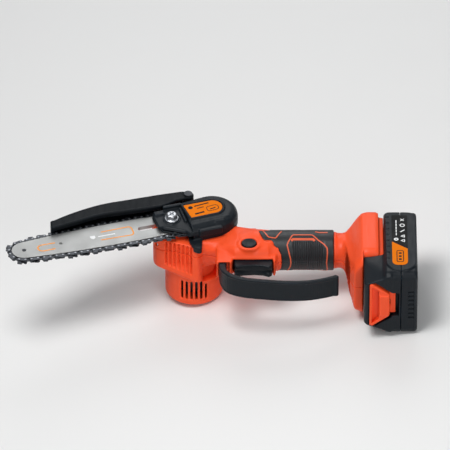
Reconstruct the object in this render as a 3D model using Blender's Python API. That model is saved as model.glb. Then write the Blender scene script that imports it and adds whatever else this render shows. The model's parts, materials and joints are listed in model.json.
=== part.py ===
"""Cordless pruning chainsaw, lying on its side with the sprocket cover up.

Tool frame, in millimetres: the handle's axis is X (battery at +X, guide bar at -X), Y points to the back
of the handle (the trigger is at -Y) and Z is the sprocket cover's outward normal. Everything hangs from
one empty, tool_axes, which tips the tool onto the two edges it rests on and stands it on the ground.
"""

import math

import bmesh
import bpy
import numpy as np
from mathutils import Matrix, Vector

MM = 0.001
GAP = 0.3  # clearance between pieces that touch on the real tool

# Guide bar and chain: quarter-inch pitch, lying in a plane parallel to the handle's axis
PITCH = 6.35
DRIVE_LINKS = 38
SPROCKET_TEETH = 7
NOSE_TEETH = 7
BAR_ANGLE = math.radians(16.5)
BAR_MID_Z = 18.0
BAR_THICK = 4.0
GROOVE = 1.7
RIVET_TO_RAIL = 2.5  # from the rivets' line to the bar's edge
NOSE_RADIUS = 12.4
SPROCKET_AT = Vector((-88.0, 29.8))
BOLT_TO_SPROCKET = 42.0

# Gear train between the motor's shaft and the sprocket's shaft
MODULE = 0.8
PINION_TEETH = 11
GEAR_TEETH = 43
GEAR_CENTRES = MODULE * (PINION_TEETH + GEAR_TEETH) / 2
MOTOR_BEARING = math.radians(213.2)  # direction from the sprocket's axis to the motor's
MOTOR_AT = SPROCKET_AT + GEAR_CENTRES * Vector((math.cos(MOTOR_BEARING), math.sin(MOTOR_BEARING)))

# Housing
WALL = 2.6
HEAD_TOP = 12.0
HEAD_BOTTOM = -28.0
BARREL_RADIUS = 29.0
BARREL_END = -62.5
CORE_RADIUS = 18.0
GRIP_RADIUS = 20.2
COLLAR_X = 34.0
TRIGGER_X = (-66.0, -27.0)
TRIGGER_FACE = -33.0
LOCK_AT = Vector((-51.0, -12.5))

# Battery: five round cells side by side along Y
CELL_RADIUS = 9.15
CELL_LENGTH = 65.0
CELL_STEP = 18.6
BATTERY_X = (84.6, 117.5)
BATTERY_Y = (-88.0, 18.0)
BATTERY_HALF = 37.5

COLOURS = {
    "orange": ((0.80, 0.10, 0.025), 0.42, 0.0),
    "black": ((0.022, 0.026, 0.030), 0.48, 0.0),
    "rubber": ((0.018, 0.020, 0.022), 0.75, 0.0),
    "bar_steel": ((0.62, 0.62, 0.60), 0.34, 1.0),
    "chain_steel": ((0.22, 0.23, 0.25), 0.38, 1.0),
    "zinc": ((0.72, 0.73, 0.75), 0.25, 1.0),
    "brass": ((0.78, 0.60, 0.28), 0.30, 1.0),
    "copper": ((0.72, 0.36, 0.20), 0.35, 1.0),
    "cell_wrap": ((0.10, 0.32, 0.52), 0.40, 0.0),
    "board": ((0.03, 0.22, 0.10), 0.50, 0.0),
}


# ---------------------------------------------------------------- helpers


def clear_scene():
    for old in list(bpy.data.objects):
        bpy.data.objects.remove(old)


def material(name):
    made = bpy.data.materials.get(name)
    if made:
        return made
    colour, rough, metal = COLOURS[name]
    made = bpy.data.materials.new(name)
    made.use_nodes = True
    shader = made.node_tree.nodes["Principled BSDF"]
    shader.inputs["Base Color"].default_value = (*colour, 1)
    shader.inputs["Roughness"].default_value = rough
    shader.inputs["Metallic"].default_value = metal
    made.diffuse_color = (*colour, 1)
    return made


def add(name, points, faces, finish, at=(0, 0, 0), turn=0.0):
    """A mesh object from points in mm about its own origin, which sits at `at` turned about Z."""
    mesh = bpy.data.meshes.new(name)
    mesh.from_pydata([Vector(p) * MM for p in points], [], faces)
    mesh.materials.append(material(finish))
    made = bpy.data.objects.new(name, mesh)
    bpy.context.scene.collection.objects.link(made)
    made.location = Vector(at) * MM
    made.rotation_euler = (0, 0, turn)
    tidy_normals(mesh)
    return made


def tidy_normals(mesh):
    shape = bmesh.new()
    shape.from_mesh(mesh)
    bmesh.ops.recalc_face_normals(shape, faces=shape.faces)
    shape.to_mesh(mesh)
    shape.free()
    mesh.shade_smooth()
    mesh.set_sharp_from_angle(angle=math.radians(35))


def rings_to_solid(rings):
    """Points and faces of a skin through rings of equal length, closed by a cap at each end."""
    count = len(rings[0])
    points = [p for ring in rings for p in ring]
    faces = []
    for k in range(len(rings) - 1):
        for i in range(count):
            j = (i + 1) % count
            faces.append((k * count + i, k * count + j, (k + 1) * count + j, (k + 1) * count + i))
    faces.append(tuple(reversed(range(count))))
    faces.append(tuple(range((len(rings) - 1) * count, len(rings) * count)))
    return points, faces


def loft(name, rings, finish, **place):
    return add(name, *rings_to_solid(rings), finish, **place)


def prism(name, outline, low, high, finish, edge=0.0, steps=2, **place):
    """An outline in XY raised from low to high, its rims rounded by edge."""
    made = loft(name, [[(x, y, z) for x, y in outline] for z in (low, high)], finish, **place)
    if edge:
        round_rims(made, edge, steps)
    return made


def round_rims(made, width, steps):
    """Rounds the edges between a prism's walls and its flat ends."""
    shape = bmesh.new()
    shape.from_mesh(made.data)
    rims = [
        e
        for e in shape.edges
        if len(e.link_faces) == 2 and (abs(e.link_faces[0].normal.z) > 0.9) != (abs(e.link_faces[1].normal.z) > 0.9)
    ]
    bmesh.ops.bevel(shape, geom=rims, offset=width * MM, segments=steps, profile=0.5, affect="EDGES")
    shape.to_mesh(made.data)
    shape.free()
    tidy_normals(made.data)


def fillet(corners, steps=4):
    """An outline whose corners (x, y, radius) are rounded by arcs."""
    found = []
    for k, (x, y, radius) in enumerate(corners):
        here = Vector((x, y))
        before = (Vector(corners[k - 1][:2]) - here).normalized()
        after = (Vector(corners[(k + 1) % len(corners)][:2]) - here).normalized()
        half = before.angle(after) / 2
        if radius <= 0:
            found.append((x, y))
            continue
        middle = here + (before + after).normalized() * radius / math.sin(half)
        start = here + before * radius / math.tan(half) - middle
        sweep = start.angle_signed(here + after * radius / math.tan(half) - middle)
        for i in range(steps + 1):
            turn = -sweep * i / steps
            c, s = math.cos(turn), math.sin(turn)
            found.append((middle.x + c * start.x - s * start.y, middle.y + s * start.x + c * start.y))
    return found


def arc(centre, radius, start, end, steps):
    """Points on a circle from one angle to another, in degrees."""
    angles = [math.radians(start + (end - start) * i / steps) for i in range(steps + 1)]
    return [(centre[0] + radius * math.cos(a), centre[1] + radius * math.sin(a)) for a in angles]


def box_outline(x0, x1, y0, y1, radius=0.0, steps=3):
    return fillet([(x0, y0, radius), (x1, y0, radius), (x1, y1, radius), (x0, y1, radius)], steps)


def circle(radius, count, centre=(0, 0)):
    return [
        (centre[0] + radius * math.cos(2 * math.pi * i / count), centre[1] + radius * math.sin(2 * math.pi * i / count))
        for i in range(count)
    ]


def turned(name, profile, finish, count=24, axis="Z", at=(0, 0, 0)):
    """A solid of revolution through (radius, height) pairs, from one end to the other."""
    turn = {"Z": Matrix(), "X": Matrix.Rotation(math.pi / 2, 3, "Y"), "Y": Matrix.Rotation(-math.pi / 2, 3, "X")}[axis]
    turn = turn.to_3x3()
    rings = [[turn @ Vector((x, y, h)) for x, y in circle(r, count)] for r, h in profile]
    return loft(name, rings, finish, at=at)


def ring(name, outer, inner, low, high, finish, count=24, at=(0, 0, 0)):
    """A washer-shaped solid about Z."""
    levels = [(outer, low), (outer, high), (inner, high), (inner, low)]
    points = [(x, y, h) for r, h in levels for x, y in circle(r, count)]
    faces = []
    for k in range(4):
        for i in range(count):
            j = (i + 1) % count
            n = (k + 1) % 4
            faces.append((k * count + i, k * count + j, n * count + j, n * count + i))
    return add(name, points, faces, finish, at=at)


def combine(target, others, operation):
    """Booleans the others into target, in place, and removes them."""
    for solid in [target] + others:
        split_faces(solid.data)
    for other in others:
        step = target.modifiers.new("step", "BOOLEAN")
        step.operation = operation
        step.solver = "EXACT"
        step.object = other
    bpy.context.view_layer.update()
    found = bpy.data.meshes.new_from_object(target.evaluated_get(bpy.context.evaluated_depsgraph_get()))
    target.modifiers.clear()
    target.data = found
    tidy_flats(found)
    for other in others:
        bpy.data.objects.remove(other)
    return target


def split_faces(mesh):
    """Makes every face a triangle, so that none is bent."""
    shape = bmesh.new()
    shape.from_mesh(mesh)
    bmesh.ops.triangulate(shape, faces=shape.faces)
    shape.to_mesh(mesh)
    shape.free()


def tidy_flats(mesh):
    """Merges the slivers that a Boolean leaves and makes flat regions one face each."""
    shape = bmesh.new()
    shape.from_mesh(mesh)
    bmesh.ops.remove_doubles(shape, verts=shape.verts, dist=0.004 * MM)
    bmesh.ops.dissolve_limit(
        shape, angle_limit=math.radians(0.4), verts=shape.verts, edges=shape.edges, delimit={"MATERIAL"}
    )
    bmesh.ops.triangulate(shape, faces=shape.faces)
    shape.to_mesh(mesh)
    shape.free()
    mesh.shade_smooth()
    mesh.set_sharp_from_angle(angle=math.radians(35))


def copy_of(source, name):
    made = bpy.data.objects.new(name, source.data.copy())
    made.matrix_world = source.matrix_world.copy()
    bpy.context.scene.collection.objects.link(made)
    return made


def bar_point(x, y, z):
    """A point of the bar's frame, in the tool frame. The nose lies towards -x."""
    c, s = math.cos(BAR_ANGLE), math.sin(BAR_ANGLE)
    return (SPROCKET_AT.x + c * x - s * y, SPROCKET_AT.y + s * x + c * y, z)


def on_bar(z=0.0):
    """Where a piece drawn in the bar's frame is placed."""
    return {"at": (SPROCKET_AT.x, SPROCKET_AT.y, z), "turn": BAR_ANGLE}


# ---------------------------------------------------------------- chain line


def pitch_radius(teeth):
    """Radius of the rivets' circle on a sprocket: two rivets to a tooth."""
    return PITCH / (2 * math.sin(math.pi / (2 * teeth)))


def rivet_line(nose_distance, steps=24):
    """The closed line that the chain's rivets follow, in the bar's frame, as (x, y) from the nose round."""
    near, far = pitch_radius(SPROCKET_TEETH), NOSE_RADIUS + RIVET_TO_RAIL
    rise, fall = math.radians(7), math.radians(5.5)
    start = Vector((near * math.sin(rise), near * math.cos(rise)))
    leave = Vector((-math.cos(rise), math.sin(rise)))
    end = Vector((-nose_distance - far * math.sin(fall), far * math.cos(fall)))
    arrive = Vector((-math.cos(fall), -math.sin(fall)))
    first, second = start + 50 * leave, end - 70 * arrive
    top = []
    for i in range(2 * steps + 1):
        t = i / (2 * steps)
        top.append(
            (1 - t) ** 3 * start + 3 * t * (1 - t) ** 2 * first + 3 * t**2 * (1 - t) * second + t**3 * end
        )
    nose_turn = [
        Vector((-nose_distance + far * math.cos(a), far * math.sin(a)))
        for a in np.linspace(math.pi / 2 + fall, 3 * math.pi / 2 - fall, steps)[1:-1]
    ]
    sprocket_turn = [
        Vector((near * math.cos(a), near * math.sin(a)))
        for a in np.linspace(-math.pi / 2 + rise, math.pi / 2 - rise, steps)[1:-1]
    ]
    bottom = [Vector((p.x, -p.y)) for p in reversed(top)]
    return top + nose_turn + bottom + sprocket_turn


def line_length(points):
    return sum((points[i] - points[i - 1]).length for i in range(len(points)))


def solve_nose_distance():
    """The sprocket-to-nose distance at which the chain's line is a whole number of links."""
    low, high = 150.0, 230.0
    wanted = 2 * PITCH * DRIVE_LINKS
    for _ in range(40):
        middle = (low + high) / 2
        low, high = (middle, high) if line_length(rivet_line(middle)) < wanted else (low, middle)
    return (low + high) / 2


NOSE_DISTANCE = solve_nose_distance()
LINE = rivet_line(NOSE_DISTANCE)


class ChainLine:
    """Looks up the chain's line by arc length, counted from the sprocket's top towards the nose."""

    def __init__(self, points):
        self.points = points
        steps = [(points[(i + 1) % len(points)] - p).length for i, p in enumerate(points)]
        self.stations = np.concatenate([[0], np.cumsum(steps)])
        self.total = self.stations[-1]

    def at(self, s):
        s %= self.total
        k = min(int(np.searchsorted(self.stations, s, side="right")) - 1, len(self.points) - 1)
        a, b = self.points[k], self.points[(k + 1) % len(self.points)]
        return a.lerp(b, (s - self.stations[k]) / max(self.stations[k + 1] - self.stations[k], 1e-9))

    def offset(self, s, out):
        """The point `out` mm outside the line at s."""
        ahead, behind = self.at(s + 1.5), self.at(s - 1.5)
        along = (ahead - behind).normalized()
        return self.at(s) + out * Vector((along.y, -along.x)) * OUTWARD


OUTWARD = 1.0
CHAIN = ChainLine(LINE)
if (CHAIN.offset(10.0, 1.0)).y < CHAIN.at(10.0).y:
    OUTWARD = -1.0


# ---------------------------------------------------------------- cutting gear


def saw_chain():
    """One closed band of side straps with a drive tang per link and a cutter on every other strap."""
    links = 2 * DRIVE_LINKS
    step = CHAIN.total / links
    half = 1.75
    outer, inner = [], []
    for k in range(links):
        outer.append(CHAIN.offset(k * step, 2.4))
        inner.append(CHAIN.offset(k * step, -1.65))
    count = len(outer)
    points = [(p.x, p.y, z) for loop, z in ((outer, -half), (outer, half), (inner, half), (inner, -half)) for p in loop]
    faces = [
        (k * count + i, k * count + (i + 1) % count, (k + 1) % 4 * count + (i + 1) % count, (k + 1) % 4 * count + i)
        for k in range(4)
        for i in range(count)
    ]
    chain = add("saw_chain", points, faces, "chain_steel")
    tangs, cutters = [], []
    for k in range(DRIVE_LINKS):
        s = 2 * k * step
        shape = [(-2.9, 0.4), (2.9, 0.4), (2.3, -2.6), (0.6, -4.5), (-1.6, -3.9), (-2.6, -2.2)]
        tangs.append(flat_link(f"tang_{k}", s + 0.5 * step, shape, -0.5, 0.5))
        if k % 2 == 0:
            side = 1 if k % 4 == 0 else -1
            cutters.append(cutter(f"cutter_{k}", s + 1.5 * step, side))
    combine(chain, tangs + cutters, "UNION")
    chain.location = Vector((SPROCKET_AT.x, SPROCKET_AT.y, BAR_MID_Z)) * MM
    chain.rotation_euler = (0, 0, BAR_ANGLE)
    return chain


def link_axes(s):
    """Where a link centred at s sits: its middle, the way it runs and the way out."""
    ahead, behind = CHAIN.at(s + PITCH / 2), CHAIN.at(s - PITCH / 2)
    along = (ahead - behind).normalized()
    return (ahead + behind) / 2, along, Vector((along.y, -along.x)) * OUTWARD


def flat_link(name, s, shape, low, high):
    middle, along, out = link_axes(s)
    outline = [(middle + along * u + out * v) for u, v in shape]
    return prism(name, [(p.x, p.y) for p in outline], low, high, "chain_steel")


def cutter(name, s, side):
    """A side plate with a depth gauge and a top plate leaning over the middle, seen along the chain."""
    middle, along, out = link_axes(s)
    plate = [(-4.2, 1.2), (4.6, 1.2), (4.6, 4.6), (3.0, 4.9), (1.8, 2.9), (0.8, 2.8), (-0.2, 5.6), (-4.2, 5.0)]
    outline = [(middle + along * u + out * v) for u, v in plate]
    low, high = sorted((side * 1.2, side * 2.5))
    made = prism(name, [(p.x, p.y) for p in outline], low, high, "chain_steel")
    roof = [(-4.3, 4.3), (-0.2, 4.8), (-0.1, 5.7), (-4.3, 5.2)]
    outline = [(middle + along * u + out * v) for u, v in roof]
    low, high = sorted((side * 2.4, side * -1.0))
    return combine(made, [prism("roof", [(p.x, p.y) for p in outline], low, high, "chain_steel")], "UNION")


def bar_outline(inset):
    """The guide bar's edge at `inset` inside its rails, from the tail's top round the nose to its bottom."""
    tail = -19.0 - inset
    edge = []
    stations = []
    for i in range(96):
        s = CHAIN.total * i / 96
        at = CHAIN.at(s)
        if at.x < -30.0 and (i % 3 == 0 or at.x < -NOSE_DISTANCE + 6):
            stations.append(s)
    for s in stations:
        relief = max(0.0, (CHAIN.at(s).x + 62.0) / 60.0)
        edge.append(tuple(CHAIN.offset(s, -RIVET_TO_RAIL - inset - relief)))
    return edge + [(tail - 4, edge[-1][1] * 0.78), (tail, -8), (tail, 8), (tail - 4, edge[0][1] * 0.78)]


def guide_bar():
    """A laminated bar: grooved edge, slot for the clamp bolt, hole for the tension pin and a nose rivet."""
    half = BAR_THICK / 2
    layers = [(-half, 0.0), (-GROOVE / 2, 0.0), (-GROOVE / 2, 4.6), (GROOVE / 2, 4.6), (GROOVE / 2, 0.0), (half, 0.0)]
    rings = [[(x, y, z) for x, y in bar_outline(inset)] for z, inset in layers]
    bar = loft("guide_bar", rings, "bar_steel", **on_bar(BAR_MID_Z))
    slot = fillet([(-77, -3.2, 3.1), (-31, -3.2, 3.1), (-31, 3.2, 3.1), (-77, 3.2, 3.1)], 4)
    cuts = [
        prism("slot", slot, -9, 9, "bar_steel", **on_bar(BAR_MID_Z)),
        prism("pin_hole", circle(2.6, 12, TENSION_PIN), -9, 9, "bar_steel", **on_bar(BAR_MID_Z)),
        prism("hang_hole", circle(1.7, 12, (-NOSE_DISTANCE + 38, 0)), -9, 9, "bar_steel", **on_bar(BAR_MID_Z)),
        prism("star_slot", circle(10.4, 20, (-NOSE_DISTANCE, 0)), -0.9, 0.9, "bar_steel", **on_bar(BAR_MID_Z)),
        prism("nose_hole", circle(2.2, 12, (-NOSE_DISTANCE, 0)), -9, 9, "bar_steel", **on_bar(BAR_MID_Z)),
    ]
    return combine(bar, cuts, "DIFFERENCE")


TENSION_PIN = (-33.0, -9.0)


def star_outline(teeth, root, tip, root_half, tip_half):
    """A sprocket's outline: one tooth a step, given by its radii and half widths."""
    outline = []
    for k in range(teeth):
        a = 2 * math.pi * k / teeth
        for radius, half in ((root, -root_half), (tip, -tip_half), (tip, tip_half), (root, root_half)):
            turn = a + math.asin(half / radius)
            outline.append((radius * math.cos(turn), radius * math.sin(turn)))
    return outline


def nose_star():
    """The small sprocket inside the bar's nose, on its rivet."""
    at = bar_point(-NOSE_DISTANCE, 0, BAR_MID_Z)
    star = prism("nose_sprocket", star_outline(NOSE_TEETH, 6.6, 9.6, 1.9, 0.9), -0.55, 0.55, "zinc", at=at)
    combine(star, [turned("eye", [(2.7, -3), (2.7, 3)], "zinc", 16, at=at)], "DIFFERENCE")
    turned("nose_rivet", [(1.9, -2.3), (1.9, 2.3)], "zinc", 12, at=at)


def drive_parts():
    """Output shaft, gear, bearings, sprocket and its clip, all on the sprocket's axis."""
    at = (SPROCKET_AT.x, SPROCKET_AT.y, 0)
    shaft = [(3.9, -5.6), (3.9, 9.0), (3.9, 22.0), (3.0, 22.4), (3.0, 23.4), (3.9, 23.8), (3.5, 25.0)]
    turned("output_shaft", shaft, "zinc", 20, at=at)
    sprocket = prism("drive_sprocket", star_outline(SPROCKET_TEETH, 7.0, 9.2, 2.2, 1.3), 15.7, 20.3, "zinc", at=at)
    combine(sprocket, [prism("hub_bore", circle(4.2, 20), 10, 30, "zinc", at=at)], "DIFFERENCE")
    ring("sprocket_washer", 8.0, 4.2, 20.6, 21.8, "zinc", 20, at=at)
    ring("sprocket_clip", 6.0, 3.3, 22.6, 23.3, "zinc", 16, at=at)
    ring("output_bearing_upper", 8.4, 4.2, 8.8, 14.6, "zinc", 24, at=at)
    ring("output_bearing_lower", 8.4, 4.2, -6.4, -1.6, "zinc", 24, at=at)
    meshing = MOTOR_BEARING + math.pi * (1 + 1 / PINION_TEETH)
    for name, turn, teeth, centre, low, high, bore, steps in (
        ("output_gear", MOTOR_BEARING, GEAR_TEETH, SPROCKET_AT, 0.2, 6.2, 4.2, 1),
        ("motor_pinion", meshing, PINION_TEETH, MOTOR_AT, -0.4, 6.8, 1.9, 2),
    ):
        outline = gear_outline(teeth, turn, steps=steps)
        gear = prism(name, outline, low, high, "zinc", at=(*centre, 0))
        combine(gear, [prism("bore", circle(bore, 16), -9, 20, "zinc", at=(*centre, 0))], "DIFFERENCE")


def gear_outline(teeth, turn, pressure=math.radians(25), slack=0.14, steps=2):
    """An involute gear's outline, one tooth centred on the direction `turn`."""
    pitch = MODULE * teeth / 2
    base, tip, root = pitch * math.cos(pressure), pitch + 0.9 * MODULE, pitch - 1.15 * MODULE

    def half_angle(radius):
        if radius <= base:
            lean = 0.0
        else:
            there = math.acos(base / radius)
            lean = math.tan(there) - there
        at_pitch = math.tan(pressure) - pressure
        return math.pi / (2 * teeth) - slack / (2 * pitch) + at_pitch - lean

    radii = [root] + [max(root, base) + (tip - max(root, base)) * i / steps for i in range(steps + 1)]
    radii = radii if radii[0] < radii[1] - 0.02 else radii[1:]
    outline = []
    for k in range(teeth):
        middle = turn + 2 * math.pi * k / teeth
        flank = [(r, middle - half_angle(r)) for r in radii]
        back = [(r, 2 * middle - a) for r, a in reversed(flank)]
        outline += [(r * math.cos(a), r * math.sin(a)) for r, a in flank + back]
    return outline


def motor_parts():
    """A can motor whose axis is square to the guide bar: can, end bell, shaft, armature and fan."""
    at = (*MOTOR_AT, 0)
    can = turned("motor_can", [(18.2, -49.5), (18.2, -9.2), (17.0, -8.4)], "zinc", 32, at=at)
    combine(can, [turned("can_bore", [(16.6, -60.0), (16.6, -10.2), (6.9, -10.1), (6.9, -1)], "zinc", 32, at=at)], "DIFFERENCE")
    ring("motor_front_bearing", 6.4, 2.5, -10.8, -6.6, "zinc", 16, at=at)
    bell = turned("motor_end_bell", [(18.2, -53.6), (18.2, -49.8)], "black", 32, at=at)
    combine(bell, [turned("bell_bore", [(2.6, -60.0), (2.6, -40)], "black", 12, at=at)], "DIFFERENCE")
    turned("motor_shaft", [(1.6, -59.2), (1.6, 7.4)], "zinc", 12, at=at)
    armature = turned("motor_armature", [(12.5, -45.0), (14.6, -43.0), (14.6, -17.0), (12.5, -15.0)], "copper", 20, at=at)
    combine(armature, [turned("armature_bore", [(1.9, -60.0), (1.9, 0)], "copper", 12, at=at)], "DIFFERENCE")
    blades = star_outline(9, 7.0, 19.5, 0.9, 0.9)
    fan = prism("cooling_fan", blades, -58.6, -54.4, "black", at=at)
    combine(fan, [prism("fan_bore", circle(1.9, 12), -60, -40, "black", at=at)], "DIFFERENCE")


# ---------------------------------------------------------------- housing

STUD = (-BOLT_TO_SPROCKET, 0.0)
GUARD_PIVOT = (-112.0, 55.5)
SEAM = 0.15
COVER_FRONT_TOP = 25.2
DOCK_FACE = 84.3
SHOE_STEP_X = 62.3
SHOE_STEP_Y = -49.5


def head_outline(inset=0.0, lean=0.0):
    """The gearbox's outline in XY. `lean` moves the face by the trigger hand outwards."""
    i = inset
    back = [(p[0], p[1], 0) for p in arc(SPROCKET_AT, 25.0 - i, -35, 95, 10)]
    return fillet(
        [
            (-147 + i, 4 - lean * 0.3 + i, 4 - i * 0.5),
            (-139 + i * 0.6, 1 - lean * 0.6 + i, 5),
            (-98.5 - i, -14 - lean + i, 5 - i * 0.5),
            (-98.5 - i, -4.2 + i, 1),
            (-82 - i * 0.6, -3.2 + i, 4),
            (-64 - i, 6 + i, 2),
        ]
        + back
        + [
            (-106, 63.6 - i, 6 - i * 0.5),
            (-121 + i * 0.5, 63.6 - i, 6 - i * 0.5),
            (-126 + i * 0.5, 46 - i * 0.5, 5),
            (-147 + i, 29 - i, 5),
        ],
        3,
    )


def section(x, y0, y1, z0, z1, radius, steps=4):
    """A rounded section square to the handle's axis."""
    return [(x, y, z) for y, z in fillet([(y0, z0, radius), (y1, z0, radius), (y1, z1, radius), (y0, z1, radius)], steps)]


def along_handle(name, sections, finish):
    return loft(name, [section(*s) for s in sections], finish)


def box(name, x, y, z, finish="black"):
    return prism(name, [(x[0], y[0]), (x[1], y[0]), (x[1], y[1]), (x[0], y[1])], z[0], z[1], finish)


def neck_solid(name, w):
    """The slim part between the gearbox and the grip, with the cheeks that hold the trigger."""
    core = CORE_RADIUS - w
    return along_handle(
        name,
        [
            (-104.0, -6 + w, 26 - w, -16 + w, 11 - w, 8),
            (-84.0, -11 + w, 28 - w, -13 + w, 11.4 - w, 8),
            (-72.0, -18 + w, 26 - w, -14 + w, 15 - w, 9),
            (-65.0, -24.5 + w, 23.5 - w, -15.5 + w, 17 - w, 10),
            (-46.0, -25 + w, 19 - w, -17 + w, 18 - w, 12),
            (-32.0, -23.5 + w, core + 0.4, -core, core, 13),
            (-24.0, -core, core, -core, core, core - 0.1),
        ],
        "orange",
    )


def body_solids(name, wall):
    """The solids that make up the housing's outside (wall 0) or its hollow (wall > 0)."""
    w = wall
    top, bottom = HEAD_TOP - w, HEAD_BOTTOM + w
    head = loft(
        name,
        [[(x, y, z) for x, y in head_outline(w, lean)] for z, lean in ((bottom, 6.0), (0.0, 3.0), (top, 0.0))],
        "orange",
    )
    core = CORE_RADIUS - w
    neck = neck_solid("neck", w)
    grip = along_handle(
        "grip",
        [(-43.0, -core, core, -core, core, core - 0.1), (35.0, -core, core, -core, core, core - 0.1)],
        "orange",
    )
    r = GRIP_RADIUS - w
    end = 71.0 if w else DOCK_FACE
    step = SHOE_STEP_X - w
    foot = along_handle(
        "foot",
        [
            (COLLAR_X, -r, r, -r, r, r - 0.1),
            (46.0, -r - 1.5, r, -r - 1, r + 1, r - 2),
            (52.0, -36 + w, 21 - w, -28 + w, 28 - w, 12),
            (57.0, -58 + w, 20.5 - w, -33 + w, 33 - w, 9),
            (step, -61 + w, 20 - w, -35.5 + w, 35.5 - w, 8),
            (step + 0.05, SHOE_STEP_Y + w, 20 - w, -35.5 + w, 35.5 - w, 7),
            (end, SHOE_STEP_Y + w, 20 - w, -36 + w, 36 - w, 6),
        ],
        "orange",
    )
    barrel_end = BARREL_END + w
    barrel = turned(
        "barrel",
        [(BARREL_RADIUS - 3 - w, barrel_end), (BARREL_RADIUS - w, barrel_end + 3), (BARREL_RADIUS - w, HEAD_BOTTOM + 11 - w)],
        "orange",
        32,
        at=(*MOTOR_AT, 0),
    )
    return [head, neck, grip, foot, barrel]


def housing():
    """Both halves of the housing, split along the handle's plane."""
    skin, *rest = body_solids("housing_upper_shell", 0.0)
    combine(skin, rest, "UNION")
    pad = fillet([(-60, -13, 4), (-27, -13, 4), (-27, 13, 4), (-60, 13, 4)], 3)
    lock_rim = [(LOCK_AT.x + 9.3 * math.cos(a), LOCK_AT.y + 8.8 * math.sin(a)) for a in np.linspace(0, 2 * math.pi, 25)[:-1]]
    combine(skin, [prism("cover_seat", cover_outline(-0.5), HEAD_TOP, 40, "orange", **on_bar())], "DIFFERENCE")
    combine(
        skin,
        [
            prism("pad", pad, HEAD_TOP - 2, BAR_MID_Z - BAR_THICK / 2 - GAP, "orange", **on_bar()),
            prism("lock_rim", lock_rim, 8, 18.6, "orange"),
        ],
        "UNION",
    )
    bearing = turned("bearing_seat", [(8.7, 4), (8.7, 40)], "orange", 24, at=(*SPROCKET_AT, 0))
    lock_hole = [(LOCK_AT.x + 7.9 * math.cos(a), LOCK_AT.y + 7.2 * math.sin(a)) for a in np.linspace(0, 2 * math.pi, 25)[:-1]]
    cuts = body_solids("hollow", WALL) + [
        bearing,
        prism("stud_hole", circle(3.2, 16, STUD), 0, 40, "orange", **on_bar()),
        prism("pin_slot", box_outline(-36.4, -26.0, -11.9, -6.1), 0, 40, "orange", **on_bar()),
        prism("lock_hole", lock_hole, 4, 40, "orange"),
        box("trigger_slot", (-67.0, -26.0), (-40.0, -12.0), (-7.2, 7.2)),
        turned("pivot_hole", [(2.8, -1), (2.8, 40)], "orange", 16, at=(*GUARD_PIVOT, 0)),
        box("rail_channel", (73.5, 90.0), (-90.0, 12.0), (-25.4, 25.4)),
        box("block_seat", (66.0, 73.6), (-9.4, 10.4), (-12.4, 12.4)),
    ]
    screw = bar_point(-66, -9, 4.8)
    tension = turned("tension_way", [(2.4, -14), (2.4, 50)], "orange", 12, axis="X", at=screw)
    tension.rotation_euler = (0, 0, BAR_ANGLE)
    cuts.append(tension)
    for k in range(9):
        angle = math.radians(205 + 17 * k)
        slot = box("vent", (20.0, 36.0), (-1.1, 1.1), (-57.0, -38.0))
        slot.location = Vector((*MOTOR_AT, 0)) * MM
        slot.rotation_euler = (0, 0, angle)
        cuts.append(slot)
    combine(skin, cuts, "DIFFERENCE")
    lips = [box(f"lip_{k}", (79.5, DOCK_FACE - 0.3), (SHOE_STEP_Y + 0.6, 13.0), z) for k, z in enumerate(((20.5, 27.0), (-27.0, -20.5)))]
    combine(skin, lips, "UNION")
    lower = copy_of(skin, "housing_lower_shell")
    far = 300.0
    combine(skin, [box("below", (-far, far), (-far, far), (-far, SEAM))], "DIFFERENCE")
    combine(lower, [box("above", (-far, far), (-far, far), (-SEAM, far))], "DIFFERENCE")


def grips():
    """The rubber sleeve on the handle, in two halves."""
    for name, turn in (("grip_upper_sleeve", 1), ("grip_lower_sleeve", -1)):
        outside = [(x, y, z) for x, y, z in section(0, -GRIP_RADIUS, GRIP_RADIUS, -GRIP_RADIUS, GRIP_RADIUS, GRIP_RADIUS - 0.1, 8)]
        inner = CORE_RADIUS + GAP
        inside = [(x, y, z) for x, y, z in section(0, -inner, inner, -inner, inner, inner - 0.1, 8)]
        sleeve = loft(name, [[(x, y, z) for _, y, z in outside] for x in (-41.4, COLLAR_X - GAP)], "rubber")
        core = loft("core", [[(x, y, z) for _, y, z in inside] for x in (-60.0, 60.0)], "rubber")
        cut = (-90.0, SEAM) if turn > 0 else (-SEAM, 90.0)
        slot = box("slot", (-60.0, -26.0), (-40.0, -12.0), (-7.2, 7.2))
        cheeks = neck_solid("cheeks", -GAP)
        combine(sleeve, [core, slot, cheeks, box("half", (-90, 90), (-90, 90), cut)], "DIFFERENCE")


def gear_plate():
    """The plate that carries the lower output bearing and the front of the motor."""
    outline = fillet([(-130, 22, 6), (-124, -2, 6), (-103, -3, 4), (-86, 1, 6), (-72, 12, 8), (-70, 42, 8), (-92, 48, 8), (-124, 44, 8)], 3)
    plate = prism("gear_plate", outline, -8.0, -2.0, "zinc")
    cuts = [
        turned("seat", [(8.7, -20), (8.7, 20)], "zinc", 24, at=(*SPROCKET_AT, 0)),
        turned("boss", [(6.7, -20), (6.7, 20)], "zinc", 20, at=(*MOTOR_AT, 0)),
        turned("foot", [(4.6, -20), (4.6, 20)], "zinc", 16, at=bar_point(*STUD, 0)),
    ]
    combine(plate, cuts, "DIFFERENCE")


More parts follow.
